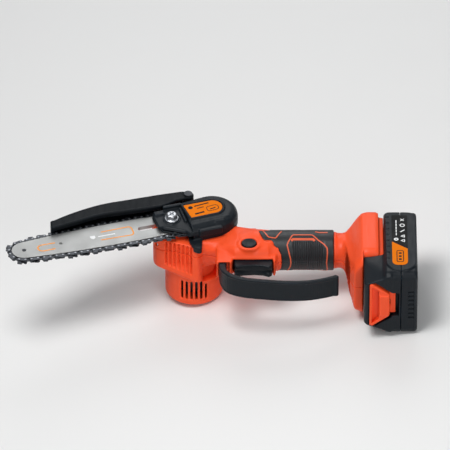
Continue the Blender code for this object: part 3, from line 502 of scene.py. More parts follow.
def dress_cad():
    """Gives every CAD node the finish of the material it was packed with."""
    slots = {}
    for row in frame["record"]["materials"]:
        for node in row.get("nodes", []):
            slots[node] = row["slot"]
    for name, node in NODES.items():
        slot = slots.get(name) or (node.data.materials[0].name if node.data.materials else "black")
        finish = MATERIALS.get(slot.split(".")[0], MATERIALS["black"])
        if name in DARK_NODES:
            finish = MATERIALS["dark_steel"]
        for k in range(len(node.material_slots)):
            node.material_slots[k].material = finish


# ---------------------------------------------------------------- housing

HEAD_TOP, HEAD_BOTTOM = 12.0, -28.0
HEAD_X = -98.5  # where the head's face meets the neck
WALL = 2.4
SEAM = 0.15
GRIP_RADIUS = 20.2
CORE_RADIUS = 18.0
LOCK = (-51.0, -12.5)
BARREL_RADIUS, BARREL_END = 29.0, -62.5

NECK = [
    (-104, -6, 26, -16, 11, 8),
    (-84, -11, 28, -13, 11.4, 8),
    (-72, -18, 26, -14, 15, 9),
    (-65, -24.5, 23.5, -15.5, 17, 10),
    (-46, -25, 19, -17, 18, 12),
    (-32, -23.5, 18.4, -18, 18, 13),
    (-24, -18, 18, -18, 18, 17.9),
]
BELL = [
    (34.2, -18.6, 18.0, -18.2, 18.2, 17.9),
    (36.4, -17.6, 17.0, -17.2, 17.2, 16.8),
    (42.0, -18.4, 16.8, -17.0, 17.0, 16.6),
    (45.0, -22.5, 17.0, -17.4, 17.4, 16.4),
    (47.0, -33.0, 17.4, -19.0, 18.2, 15.0),
    (48.6, -50.0, 17.9, -22.4, 19.8, 12.0),
    (51.0, -52.0, 18.3, -23.6, 22.0, 12.0),
    (52.8, -60.6, 18.7, -31.0, 24.6, 10.0),
    (56.0, -60.8, 19.3, -33.0, 29.2, 10.0),
    (60.0, -61.0, 19.9, -34.2, 34.2, 9.0),
    (62.4, -61.0, 20.0, -35.5, 35.5, 9.0),
]
SHOE = [
    (61.0, -49.5, 20.0, -35.0, 35.0, 9.0),
    (66.0, -49.5, 20.3, -36.3, 36.3, 8.0),
    (75.0, -49.5, 20.2, -36.4, 36.4, 8.0),
    (77.9, -49.5, 19.4, -35.4, 35.4, 8.0),
]
DOCK_RIM = [
    (76.0, -49.5, 16.8, -32.4, 32.4, 7.0),
    (82.7, -49.5, 16.0, -31.0, 31.0, 6.0),
]


def head_outline(lean=0.0, i=0.0):
    """The gearbox's outline. `lean` moves the face by the trigger hand outwards."""
    back = [(p[0], p[1], 0) for p in arc(SPROCKET, 25.0 - i, -35, 95, 12)]
    return fillet(
        [
            (-147 + i, 3.9 - lean * 0.4 + i, 10.5 - i),
            (HEAD_X - i, -14 - lean + i, 5 - i * 0.5),
            (HEAD_X - i, -4.2 + i, 1),
            (-82 - i * 0.6, -3.2 + i, 4),
            (-64 - i, 6 + i, 2),
        ]
        + back
        + [
            (-106, 63.6 - i, 6 - i * 0.5),
            (-121 + i * 0.5, 63.6 - i, 6 - i * 0.5),
            (-126 + i * 0.5, 46 - i * 0.5, 5),
            (-147 + i, 29 - i, 5),
        ],
        4,
    )


RIDGE_PITCH = 4.3
CHEEK_HALF = 9.8
CHEEK = [
    (-83.4, -6), (-83.4, -31.8), (-68.6, -31.8), (-67, -25.5), (-27.6, -25.5), (-26.9, -29.0), (-26.0, -30.8),
    (-25.0, -30.2), (-24.0, -25), (-24.0, -5),
]
LOBE = [
    (-63, 25), (-63, -26), (-20, -26), (-18.4, -21.4), (-18.5, -19.6), (-22, -15.2), (-30, -12.3), (-36, -10.2),
    (-37.8, -6.5), (-41.4, 4.0), (-44.5, 12), (-45.5, 25),
]


def lock_oval(g, reach_x, reach_y, radius):
    """The outline shared by the lock-off button, its hole and its rim."""
    return rect(g.x, g.y, LOCK[0] - reach_x, LOCK[0] + reach_x, LOCK[1] - reach_y, LOCK[1] + reach_y, radius)


def cheek_field(g):
    """The walls beside the trigger."""
    return profile(g, CHEEK, -CHEEK_HALF, CHEEK_HALF, 1.6)


def lobe_field(g):
    """The saddle that flares over the front of the grip."""
    swell = np.interp(g.x, [-62, -46], [17.4, GRIP_RADIUS + 1.0]).astype(np.float32)
    return common(polygon(g.x, g.y, LOBE), rod(g.y, g.z, (0, 0), 0) - swell)


def housing_field(g):
    top = polygon(g.x, g.y, head_outline(0.0))
    bottom = polygon(g.x, g.y, head_outline(6.0))
    low = np.clip((HEAD_TOP - g.z) / (HEAD_TOP - HEAD_BOTTOM), 0, 1)
    under = HEAD_BOTTOM - 1.5 + 0.17 * np.clip(HEAD_X - g.x, 0, 60)
    head = slab(top + (bottom - top) * low, g.z, under, HEAD_TOP, 2.0)
    ridges = 0.5 + 0.5 * np.cos(2 * math.pi * (g.x + 131.9) / RIDGE_PITCH)
    across = np.clip((g.x + 135) / 1.2, 0, 1) * np.clip((-107.5 - g.x) / 1.2, 0, 1)
    face = np.clip((-0.365 * (g.x - HEAD_X) - 9.0 - g.y) / 2, 0, 1)
    tall = np.clip((g.z - under - 6.5) / 2, 0, 1) * np.clip((HEAD_TOP - 0.5 - g.z) / 2, 0, 1)
    head = head + 3.0 * (1 - ridges) * across * face * tall
    neck = along_x(g, NECK)
    solid = join(head, neck, 5.0)
    core = common(rod(g.y, g.z, (0, 0), CORE_RADIUS), common(-60 - g.x, g.x - 36))
    bell = join(core, along_x(g, BELL, 0.0, 1.6), 1.0)
    foot = join(bell, join(along_x(g, SHOE, 0.0, 0.8), along_x(g, DOCK_RIM)), 0.6)
    solid = join(solid, foot)
    cheeks = carve(cheek_field(g), block(g, (-81.2, -70.6), (-40, -28.4), (-12, 8.4), 0.6), 0.6)
    solid = join(solid, join(lobe_field(g), cheeks, 4.0), 2.5)
    barrel = disc(g, MOTOR, BARREL_RADIUS, BARREL_END, -14.0, 3.0)
    solid = join(solid, barrel, 3.0)
    waist = common(21.0 - rod(g.x, g.y, MOTOR, 0.0), rect(g.x, g.y, -97.6, -62.0, -60.0, 16.0))
    return carve(solid, slab(waist, g.z, -33.0, -15.5, 1.0), 1.5)


def hollow_housing(g, solid):
    """Leaves a wall of even thickness, then opens the housing's holes."""
    solid = carve(solid, solid + WALL)
    solid = join(solid, slab(lock_oval(g, 11.6, 9.8, 9.6), g.z, 8, 18.6, 1.4), 1.6)
    solid = carve(solid, slab(lock_oval(g, 7.8, 7.1, 7.0), g.z, 4, 40), 0.8)
    xb, yb = tool_to_bar(g.x, g.y)
    pad = slab(rect(xb, yb, -60, -27, -13, 13, 4.0), g.z, HEAD_TOP - 2, BAR_MID_Z - BAR_THICK / 2 - 0.3, 0.6)
    solid = join(solid, pad)
    solid = carve(solid, slab(rod(xb, yb, STUD, 3.2), g.z, -2, 40))
    solid = carve(solid, slab(rect(xb, yb, -36.4, -26, -11.9, -6.1, 1.0), g.z, 0, 40))
    solid = carve(solid, disc(g, SPROCKET, 8.7, 4, 40), 0.5)
    solid = carve(solid, disc(g, PIVOT, 2.8, -1, 40))
    solid = carve(solid, block(g, (-67, -27), (-40, -12), (-7.4, 7.4), 1.5, 0.5), 0.8)
    solid = carve(solid, block(g, (73.5, 90), (-90, 12), (-25.4, 25.4), 1.0, 1.0))
    solid = carve(solid, block(g, (66, 75), (-9.4, 10.4), (-12.4, 12.4)))
    way = common(np.sqrt((yb + 9) ** 2 + (g.z - 4.8) ** 2) - 2.0, xb + 16)
    solid = carve(solid, way)
    for k in range(6):
        turn = math.radians(245 + 10 * k)
        c, s = math.cos(turn), math.sin(turn)
        dx, dy = g.x - MOTOR.x, g.y - MOTOR.y
        top = -36.5 if k == 5 else -32.5
        slot = slab(rect(c * dx + s * dy, c * dy - s * dx, 20, 34, -1.15, 1.15, 0.4), g.z, -55, top, 1.2)
        solid = carve(solid, slot, 0.6)
    lips = join(block(g, (79.5, 82.6), (-49, 13), (20.5, 27)), block(g, (79.5, 82.6), (-49, 13), (-27, -20.5)))
    return join(solid, lips)


def housing():
    g = Grid((-150, 88), (-66, 68), (-65, 39), 0.8)
    solid = hollow_housing(g, housing_field(g))
    for name, side in (("housing_upper", 1), ("housing_lower", -1)):
        half = common(solid, SEAM - side * g.z)
        moulded(name + "_skin", half, g, "orange", name + "_shell", relax=1)


# ---------------------------------------------------------------- grip

RIB_PITCH = 2.2
SLEEVE_X = (-47.0, 33.7)


def grip():
    g = Grid((-48.5, 35), (-22, 22), (-22, 22), 0.45)
    across = rod(g.y, g.z, (0, 0), GRIP_RADIUS)
    sleeve = slab(across, g.x, *SLEEVE_X, 1.2)
    facing = np.degrees(np.arctan2(g.z, g.y)) % 360
    side = np.clip((66 - np.abs(facing - 180)) / 5, 0, 1)
    patch = side * np.clip((g.x + 8) / 1.5, 0, 1) * np.clip((24.5 - g.x) / 1.5, 0, 1)
    sleeve = sleeve + 1.0 * (0.5 + 0.5 * np.cos(2 * math.pi * g.x / RIB_PITCH)) * patch
    sleeve = common(sleeve, CORE_RADIUS + 0.3 - rod(g.y, g.z, (0, 0), 0))
    taken = join(join(lobe_field(g), cheek_field(g), 4.0), along_x(g, NECK), 2.5)
    taken = join(taken, block(g, (-67, -25), (-40, -12), (-9, 9)))
    sleeve = carve(sleeve, taken - 0.35, 0.5)
    for name, way in (("upper", 1), ("lower", -1)):
        half = common(sleeve, SEAM - way * g.z)
        moulded(f"grip_{name}_rubber", half, g, "rubber", f"grip_{name}_sleeve")


def ribbon(name, path, width, lift, finish, body, mapping, closed=False, step=0.8):
    """A thin strip along a path of flat points, laid on a surface by mapping(u, v, height)."""
    path = [Vector(p) for p in path]
    dense = []
    count = len(path)
    for k in range(count if closed else count - 1):
        a, b = path[k], path[(k + 1) % count]
        parts = max(1, int((b - a).length / step))
        dense += [a.lerp(b, i / parts) for i in range(parts)]
    if not closed:
        dense.append(path[-1])
    n = len(dense)
    rings = []
    for k, p in enumerate(dense):
        before = dense[k - 1] if closed or k else p
        after = dense[(k + 1) % n] if closed or k < n - 1 else p
        along = (after - before).normalized()
        out = Vector((along.y, -along.x)) * width / 2
        rings.append([(p - out, lift[0]), (p - out, lift[1]), (p + out, lift[1]), (p + out, lift[0])])
    points = [mapping(spot.x, spot.y, height) for ring in rings for spot, height in ring]
    piece = place(name, points, ring_faces(4, n, closed=closed), finish, body)
    piece.data.set_sharp_from_angle(angle=math.radians(40))


def round_grip(x, turn, height):
    """A point on the grip at `turn` mm of arc from +Y towards +Z."""
    angle = turn / GRIP_RADIUS
    return x, (GRIP_RADIUS + height) * math.cos(angle), (GRIP_RADIUS + height) * math.sin(angle)


def grip_inlays():
    """The raised orange lines on the grip, from (x, degrees round the handle) points."""

    def inlay(name, points, width, closed=False):
        path = [(x, math.radians(angle) * GRIP_RADIUS) for x, angle in points]
        ribbon(name, path, width, (0.02, 0.30), "accent", "body", round_grip, closed)

    def mirrored(points):
        return [(x, 360 - angle) for x, angle in points]

    half = [
        (-9.2, 180), (-9.6, 168), (-13, 128), (-12.2, 121), (-8, 97), (-6.5, 94), (11.5, 94), (13, 97),
        (18, 113), (24, 126), (26.8, 136), (27.2, 150), (26.4, 180),
    ]
    inlay("grip_loop", half + mirrored(half[-2:0:-1]), 1.25, closed=True)
    bar = [(-9, 115), (-7.2, 110), (12.6, 110), (14.6, 115)]
    vee = [(-37.5, 70), (-32.5, 99), (-31, 103), (-25, 106), (-23.6, 103), (-18.5, 76)]
    dash = [(15, 78), (19, 83), (27.5, 83)]
    for side in "ab":
        for name, points, width in (("bar", bar, 2.6), ("vee", vee, 1.2), ("dash", dash, 1.6)):
            inlay(f"grip_{name}_{side}", points if side == "a" else mirrored(points), width)


# ---------------------------------------------------------------- covers and guards

COVER_TOP = 29.2


def cover_outline():
    """The sprocket cover's outline in the bar's frame."""
    back = [(x, y, 0) for x, y in arc((0, 0), 26.0, -97, 97, 24)]
    corners = [(-59.5, 13.5, 4), (-57.5, -12.5, 4), (-43, -22.0, 6), (-32, -28.0, 4)]
    return fillet(corners + back + [(-31, 22, 16), (-50, 17.5, 10)], 4)


def badge_outline(grow=0.0):
    """The raised badge on the cover: square at the nut's end, round at the other, in the bar's frame."""
    return [(-26.5 - grow, 12.2 + grow), (-24.0 - grow, -9.0 - grow)] + arc((0.5, 2.2), 10.6 + grow, -72, 78, 14)


CLAW = [
    (-113.5, 8), (-111.6, 3), (-110.6, -6.2), (-108.0, -12.2), (-105.2, -15.3), (-102, -17.0), (-99.4, -17.0),
    (-98.0, -15.2), (-97.6, 10),
]


def side_cover():
    g = Grid((-152, -58), (-20, 60), (2, 31), 0.5)
    xb, yb = tool_to_bar(g.x, g.y)
    flat = polygon(xb, yb, cover_outline())
    inset = np.interp(g.z, [0, 21, 25, 27.8, COVER_TOP], [0, 0, 1.0, 3.4, 7.0]).astype(np.float32)
    facet = np.interp(g.z, [18.5, 25.2], [0, 4.6]) * np.clip((-30 - xb) / 4, 0, 1) * np.clip((-1 - yb) / 5, 0, 1)
    outer = common(flat + inset + facet.astype(np.float32), np.abs(g.z - 20.75) - 8.45, 1.5)
    inner_inset = np.interp(g.z, [0, 20, 23.4, 25.6, 26.6], [2.4, 2.4, 3.2, 5.0, 8.0]).astype(np.float32)
    ceiling = np.where(xb < -27.0, 22.6, 26.6).astype(np.float32)
    cover = carve(outer, common(flat + inner_inset, g.z - ceiling))
    cover = carve(cover, common(xb + 27, g.z - 20.8))
    pad = slab(rect(xb, yb, -58, -28, -9, 9, 3), g.z, 20.3, 28.0, 0.5)
    cover = join(cover, pad, 0.8)
    cover = carve(cover, common(xb + 27.5, 25.2 - g.z), 0.8)
    badge = slab(polygon(xb, yb, badge_outline(2.4)), g.z, 26.0, 30.6, 0.8)
    recess = slab(polygon(xb, yb, badge_outline(0.5)), g.z, 29.7, 34.0)
    cover = carve(join(cover, badge, 1.2), recess, 0.3)
    raised = [
        ((-21, 3), (-28.6, -22.5), (19.0, 26.6), 1.0),
        ((-3.5, 7), (-21.2, -16.6), (24.0, 29.0), 0.8),
        ((-31.0, -28.6), (-9.5, 13.0), (23.0, 27.4), 0.7),
        ((-46, -27), (16.0, 19.6), (19.5, 28.6), 0.8),
        ((-57, -47), (8.6, 14.6), (21.0, 27.0), 0.8),
        ((-26, 14), (-15.4, -13.8), (26.0, 29.0), 0.6),
    ]
    for x, y, z, edge in raised:
        rib = slab(rect(xb, yb, *x, *y, 1.0), g.z, *z, edge)
        cover = join(cover, rib, 0.8)
    cover = join(cover, slab(rod(xb, yb, STUD, 8.6), g.z, 24.0, 25.9, 0.4), 0.8)
    cover = carve(cover, rod(xb, yb, STUD, 3.3) + 0 * g.z)
    cover = carve(cover, slab(rod(xb, yb, STUD, 7.4), g.z, 25.35, 40))
    plate = profile(g, CLAW, 12.5, 15.8, 0.8)
    tongue = common(profile(g, CLAW, 8.2, 15.2, 1.0), g.y + 13.4)
    cover = join(cover, join(plate, tongue, 0.8), 1.5)
    moulded("cover_skin", cover, g, "black", "side_cover")


def sheet_piece(name, outline, low, high, finish, body, mapping, edge):
    """A thin plate over an outline, its upper rim softened, laid by mapping(u, v, height)."""
    centre = Vector((sum(p[0] for p in outline) / len(outline), sum(p[1] for p in outline) / len(outline)))
    n = len(outline)
    levels = [(low, 0.0), (high - edge, 0.0), (high, edge)]
    points = []
    for height, inset in levels:
        for p in outline:
            toward = (centre - Vector(p)).normalized() * inset
            points.append(mapping(p[0] + toward.x, p[1] + toward.y, height))
    piece = place(name, points, ring_faces(n, len(levels)), finish, body)
    tidy_normals(piece.data, 30)


def on_bar_plane(x, y, height):
    return (*bar_to_tool(x, y), height)


def badge():
    """The badge's film with a plain pattern of bars on it."""
    film, top = badge_outline(-0.1), 29.95
    sheet_piece("badge_film", film, 29.72, top, "sticker", "body", on_bar_plane, 0.08)
    lift = (top + 0.01, top + 0.07)

    def line(name, points, width, closed=False):
        ribbon(name, points, width, lift, "ink", "body", on_bar_plane, closed)

    line("badge_mark_long", [(-16.5, 7.6), (-1.0, 9.4)], 1.5)
    line("badge_mark_short", [(-14.5, 3.6), (-7.5, 4.4)], 1.1)
    line("badge_mark_low", [(-18.8, -4.6), (-9.0, -3.4)], 2.2)
    pill = fillet([(-5.0, -4.0, 2.4), (7.0, -2.6, 3.0), (6.4, 4.8, 3.0), (-5.4, 3.4, 2.4)], 4)
    line("badge_pill", pill, 0.7, True)
    line("badge_pill_bar", [(-2.2, -0.9), (3.6, 0.2)], 1.3)
    sheet_piece("badge_dot", arc((-20.6, 6.6), 2.4, 0, 345, 23), *lift, "ink", "body", on_bar_plane, 0.02)


GUARD_OUTER = [(-248.5, 12.0), (-228, 25.6), (-200, 39.5), (-170, 48.0), (-140, 56.0), (-118, 61.0)]
GUARD_INNER = [(-124, 49.5), (-136, 43), (-150, 36), (-180, 27), (-205, 14.6), (-230, 4.2), (-246, 2.6)]
GUARD_BAND = [
    (-124, 46), (-136, 38.5), (-147, 35), (-170, 29.5), (-200, 22.5), (-225, 11.0), (-243, 3.0), (-247, 1.5),
]


def smooth_path(points, steps=5):
    """A Catmull-Rom curve through the points."""
    found = []
    ends = [points[0]] + points + [points[-1]]
    for k in range(1, len(ends) - 2):
        a, b, c, d = (Vector(p) for p in ends[k - 1 : k + 3])
        for i in range(steps):
            t = i / steps
            mid = 2 * b + (c - a) * t + (2 * a - 5 * b + 4 * c - d) * t**2 + (3 * b - a - 3 * c + d) * t**3
            found.append(tuple(0.5 * mid))
    return found + [points[-1]]


def strip_outline(path, width, extra=0.0):
    """A band lying to the right of a path, `width` wide and up to `extra` wider near its start."""
    across = []
    for k, p in enumerate(path):
        ahead = Vector(path[min(k + 1, len(path) - 1)]) - Vector(path[max(k - 1, 0)])
        wide = width + extra * max(0.0, 1 - 2.2 * k / len(path))
        across.append(tuple(Vector(p) + wide * Vector((ahead.y, -ahead.x)).normalized()))
    return list(path) + across[::-1]


def upper_guard():
    g = Grid((-251, -104), (-8, 64), (11, 29), 0.6)
    outer = smooth_path(GUARD_OUTER)
    hinge = [(-112.0, 60.5), (-108.0, 55.5), (-112.0, 50.5)]
    flange = profile(g, outer + hinge + smooth_path(GUARD_BAND), 24.4, 27.2, 1.0)
    web = profile(g, outer + hinge + smooth_path(GUARD_INNER), 12.6, 14.4, 0.5)
    wall = profile(g, strip_outline(outer, 2.4), 12.6, 26.0, 0.7)
    end = [(-249.6, 11.6), (-247.4, 14.0), (-245.2, 12.0), (-245.6, 3.0), (-248.6, 1.6)]
    tip = profile(g, end, 12.6, 27.0, 0.7)
    eye = disc(g, PIVOT, 5.6, 12.4, 27.0, 0.6)
    lip = profile(g, strip_outline(smooth_path(GUARD_BAND), 1.8), 22.0, 27.2, 0.7)
    guard = join(join(join(flange, wall, 1.6), join(web, tip), 0.8), join(eye, lip), 0.8)
    guard = carve(guard, rod(g.x, g.y, PIVOT, 2.8) + 0 * g.z)
    # The whole guard takes the darkened nylon as painted shade.
    moulded("guard_skin", guard, g, "painted_shade_black", "upper_guard", "upper_guard")


HAND_GUARD = [
    (-80.8, -27.5), (-81.1, -36), (-78.6, -47), (-71, -56.6), (-56, -62.8), (-35, -66), (-15, -68), (6, -67.5),
    (22, -64), (37, -58.5),
]


def hand_guard():
    g = Grid((-83.5, 39), (-71, -26), (-13, 13), 0.5)
    path = smooth_path(HAND_GUARD, 4)
    half = np.interp(g.y, [-52, -34], [11.8, 8.0]).astype(np.float32)
    band = profile(g, strip_outline(path, -4.6, -3.0), -half, half, 1.3)
    deep = profile(g, strip_outline(path, -0.35), 2.4 - half, half - 2.4, 0.3)
    band = carve(band, deep, 0.5)
    stop = disc(g, (35.6, -57.4), 2.5, -11.8, 11.8, 1.2)
    band = join(band, stop, 1.5)
    moulded("hand_guard_skin", band, g, "black", "hand_guard")


def controls():
    g = Grid((-67, -26), (-38, -13), (-8, 8), 0.4)
    face = [
        (-65.6, -15), (-65.6, -33), (-63.5, -35.6), (-56, -33.8), (-46, -33.0), (-37, -34.0), (-31, -36.4),
        (-28.2, -34), (-27.4, -29), (-27.4, -15),
    ]
    body = profile(g, face, -6.7, 6.7, 1.4)
    groove = np.sqrt((g.y + 36.5) ** 2 + g.z**2) - 3.0 + 0 * g.x
    body = carve(body, groove, 1.0)
    seat = common(np.sqrt((g.x + 46) ** 2 + g.z**2) - 3.5, -24.4 - g.y)
    body = carve(body, seat)
    moulded("trigger_skin", body, g, "black", "trigger", "trigger")
    g = Grid((-60, -42), (-21, -4), (11.5, 21), 0.35)
    button = slab(lock_oval(g, 7.4, 6.7, 6.6), g.z, 12.6, 19.6, 1.0)
    dish = np.sqrt((g.x - LOCK[0]) ** 2 + (g.y - LOCK[1]) ** 2 + (g.z - 40) ** 2) - 21.2
    button = carve(button, dish, 0.6)
    button = carve(button, common(rod(g.x, g.y, LOCK, 4.3), g.z - 16.4))
    moulded("lock_off_cap", button, g, "black", "lock_off_button", "lock_off_button")


# ---------------------------------------------------------------- battery

BATTERY_X, BATTERY_Y, BATTERY_HALF = (83.1, 116.0), (-88.0, 17.0), 37.5
CASE_JOINT = 99.6
PANEL_RISE = 1.5


def both_sides(half):
    """An outline that is the same on both sides of its X axis."""
    return half + [(x, -y) for x, y in reversed(half)]


BUTTON = both_sides([(68.4, 25.0), (71.0, 26.0), (87.6, 13.6), (88.4, 11.0)])
BUTTON_WELL = both_sides([(67.8, 25.6), (74.4, 26.6), (91.6, 14.2), (97.6, 14.2)])
BUTTON_LEFT = both_sides([(70.6, 22.6), (77.6, 17.6)])


def battery():
    g = Grid((61, 119), (-91, 20), (-39.5, 39.5), 0.65)
    x0, x1 = BATTERY_X
    y0, y1 = BATTERY_Y
    h = BATTERY_HALF
    case = slab(rect(g.y, g.z, y0, y1, -h, h, 7.5), g.x, x0, x1, 3.4)
    block_shape = fillet([(62.9, y0 + 3, 5), (66, y0, 3), (90, y0, 0), (90, -50, 0), (62.9, -50, 2)], 3)
    lean = np.clip((g.x - 68) / 20, 0, 1) * 4.0
    latch = slab(polygon(g.x, g.y, block_shape), np.abs(g.z) - lean, -40, 31.5, 2.0)
    slope = -0.360 * (g.x - 66.5) - 0.165 * (g.y + 57) + 0.918 * (np.abs(g.z) - 31.5)
    latch = common(latch, slope, 1.0)
    case = join(case, latch, 3.0)
    panel_end = [(*p, 0) for p in arc(((x0 + x1) / 2 + 0.5, y0 + 21), 15.2, 180, 360, 16)]
    panel = fillet([(x0 + 1.2, y1 - 5.0, 4), *panel_end, (x1 - 0.3, y1 - 5.0, 9)], 6)
    raised = profile(g, panel, h - 3, h + PANEL_RISE, 1.0)
    case = join(case, raised, 0.7)
    for k in range(8):
        y = 3.0 - 9.4 * k
        notch = slab(rect(g.x, g.y, x0 + 1.6, x0 + 5.2, y - 1.5, y + 1.5, 0.6), g.z, h + 0.7, h + 4, 0.3)
        case = carve(case, notch, 0.4)
    for x in (CASE_JOINT, 112.0):
        case = carve(case, common(rect(g.x, g.y, x - 0.5, x + 0.5, y0 - 2, y0 + 0.6), np.abs(g.z) - 33), 0.4)
    for k in range(-3, 4):
        vent = common(rect(g.x, g.z, 106.6, 112.6, 5.3 * k - 1.2, 5.3 * k + 1.2, 0.6), g.y - y0 - 1.6)
        case = carve(case, vent, 0.4)
    field = slab(rect(g.y, g.z, y0 + 12, y1 - 12, 12 - h, h - 12, 5.0), g.x, x1 - 0.7, x1 + 5)
    case = carve(case, field, 0.5)
    for y in (y0 + 6.4, y1 - 6.4):
        case = carve(case, slab(rod(g.y, np.abs(g.z), (y, h - 6.4), 2.7), g.x, x1 - 2.2, x1 + 5), 0.4)
    tongue = block(g, (74.0, 79.1), (-49.0, 8.6), (-25, 25), 0, 0.5)
    stem = block(g, (78, x0 + 4), (-49, 8.6), (-20.1, 20.1), 0, 0.5)
    case = join(case, join(tongue, stem))
    hollow = slab(rect(g.y, g.z, y0 + 2.8, y1 - 2.8, 2.8 - h, h - 2.8, 5), g.x, x0 + 2.8, x1 - 2.6, 1.5)
    behind_button = block(g, (60, CASE_JOINT - 0.6), (y0, y0 + 11.0), (-28.5, 28.5))
    case = carve(case, common(hollow, -behind_button))
    for z in (8.0, -10.0):
        case = carve(case, block(g, (74.9, x0 + 3.2), (-9, 12), (z, z + 2.0)))
    well = slab(polygon(g.x, g.z, BUTTON_WELL), g.y, -95, y0 + 8.4)
    case = carve(case, well, 0.5)
    parts = (("battery_top", g.x - CASE_JOINT + SEAM), ("battery_base", CASE_JOINT + SEAM - g.x))
    for name, side in parts:
        moulded(name + "_skin", common(case, side), g, "black", name, "battery")
    g = Grid((66, 96), (-93, -79), (-27.5, 27.5), 0.45)
    button = slab(polygon(g.x, g.z, BUTTON), g.y, y0 - 1.2, -80.5, 0.7)
    left = slab(polygon(g.x, g.z, BUTTON_LEFT), g.y, -100, y0 + 4.2, 0.5)
    button = carve(button, left, 0.5)
    thumb = slab(rect(g.x, g.z, 78.2, 87.8, -12.6, 12.6, 1.0), g.y, y0 - 2.8, -81, 1.0)
    flange = slab(rect(g.x, g.z, 84, 94.2, -13.2, 13.2, 1.0), g.y, y0 + 4.4, -81, 0.6)
    button = join(join(button, thumb, 0.8), flange, 0.4)
    spring = slab(np.abs(g.z) - 4.0, g.x, 84.9, 89.0)
    button = carve(button, common(spring, -86.6 - g.y))
    moulded("release_button_skin", button, g, "orange", "battery_release_button", "battery_release_button")


def battery_label():
    """A dark label with an orange end and a generic column of marks, on the raised panel."""
    top = BATTERY_HALF + PANEL_RISE + 0.02

    def on_panel(x, y, height):
        return x, y, top + height

    dark = fillet([(90.9, 6.4, 1.0), (106.4, 6.4, 1.0), (106.4, -47.0, 0.3), (90.9, -35.6, 0.3)], 3)
    sheet_piece("label_dark", dark, 0.0, 0.12, "ink", "battery", on_panel, 0.03)
    lower = fillet([(90.9, -36.2, 0.3), (106.4, -47.6, 0.3), (106.4, -73.4, 5.6), (90.9, -73.4, 5.6)], 5)
    sheet_piece("label_orange", lower, 0.0, 0.12, "sticker", "battery", on_panel, 0.03)

    def mark(name, points, width, finish="mark", closed=False):
        ribbon(name, points, width, (0.13, 0.18), finish, "battery", on_panel, closed)

    for k in range(5):
        y = -2.0 - 5.0 * k
        mark(f"label_mark_line_{k}", [(95.4, y), (95.4, y - 4.1)], 1.0)
    mark("label_mark_drop", arc((95.2, -32.4), 1.6, 0, 340, 16), 1.5, closed=True)
    mark("label_mark_star_a", [(99.8, -2.8), (103.2, 0.4)], 0.9)
    mark("label_mark_star_b", [(99.8, 0.4), (103.2, -2.8)], 0.9)
    mark("label_mark_ring", arc((101.5, -9.9), 2.1, 0, 345, 23), 1.0, closed=True)
    mark("label_mark_bar", [(99.4, -20.8), (103.6, -17.2)], 1.2)
    for k, y in enumerate((-27.4, -34.6)):
        mark(f"label_mark_wedge_{k}", [(103.4, y - 1.9), (99.9, y), (103.4, y + 1.9)], 1.0, closed=True)
    cell = [(95.6, -50.6), (102.0, -50.6), (102.0, -68.4), (95.6, -68.4)]
    mark("label_cell", fillet([(*p, 1.4) for p in cell], 3), 0.9, "ink", True)
    for k in range(3):
        y = -54.8 - 4.8 * k
        mark(f"label_cell_bar_{k}", [(97.4, y), (100.2, y)], 2.4, "ink")


# ---------------------------------------------------------------- cutting gear


def pitch_radius(teeth):
    """Radius of the rivets' circle on a sprocket: two rivets to a tooth."""
    return PITCH / (2 * math.sin(math.pi / (2 * teeth)))


def rivet_line(nose_distance, steps=24):
    """The closed line that the chain's rivets follow, in the bar's frame, from the sprocket round the nose."""
    near, far = pitch_radius(SPROCKET_TEETH), NOSE_RADIUS + RIVET_TO_RAIL
    rise, fall = math.radians(7), math.radians(5.5)
    start = Vector((near * math.sin(rise), near * math.cos(rise)))
    end = Vector((-nose_distance - far * math.sin(fall), far * math.cos(fall)))
    first = start + 50 * Vector((-math.cos(rise), math.sin(rise)))
    second = end + 70 * Vector((math.cos(fall), math.sin(fall)))
    top = []
    for i in range(2 * steps + 1):
        t = i / (2 * steps)
        top.append((1 - t) ** 3 * start + 3 * t * (1 - t) ** 2 * first + 3 * t**2 * (1 - t) * second + t**3 * end)
    nose = [
        Vector((-nose_distance + far * math.cos(a), far * math.sin(a)))
        for a in np.linspace(math.pi / 2 + fall, 3 * math.pi / 2 - fall, steps)[1:-1]
    ]
    heel = [
        Vector((near * math.cos(a), near * math.sin(a)))
        for a in np.linspace(-math.pi / 2 + rise, math.pi / 2 - rise, steps)[1:-1]
    ]
    return top + nose + [Vector((p.x, -p.y)) for p in reversed(top)] + heel


def line_length(points):
    return sum((points[i] - points[i - 1]).length for i in range(len(points)))


def solve_nose_distance():
    """The sprocket-to-nose distance at which the chain's line is a whole number of links."""
    low, high = 150.0, 230.0
    for _ in range(40):
        middle = (low + high) / 2
        short = line_length(rivet_line(middle)) < 2 * PITCH * DRIVE_LINKS
        low, high = (middle, high) if short else (low, middle)
    return (low + high) / 2


NOSE_DISTANCE = solve_nose_distance()
LINE = rivet_line(NOSE_DISTANCE)
STATIONS = np.concatenate([[0], np.cumsum([(LINE[(i + 1) % len(LINE)] - p).length for i, p in enumerate(LINE)])])


def on_line(s):
    s %= STATIONS[-1]
    k = min(int(np.searchsorted(STATIONS, s, side="right")) - 1, len(LINE) - 1)
    return LINE[k].lerp(LINE[(k + 1) % len(LINE)], (s - STATIONS[k]) / max(STATIONS[k + 1] - STATIONS[k], 1e-9))


def link_axes(s):
    """Where a link centred at s sits: its middle, the way it runs and the way out."""
    ahead, behind = on_line(s + PITCH / 2), on_line(s - PITCH / 2)
    along = (ahead - behind).normalized()
    return (ahead + behind) / 2, along, Vector((-along.y, along.x)) * OUT


OUT = 1.0 if (on_line(13.0) - on_line(10.0)).x > 0 else -1.0


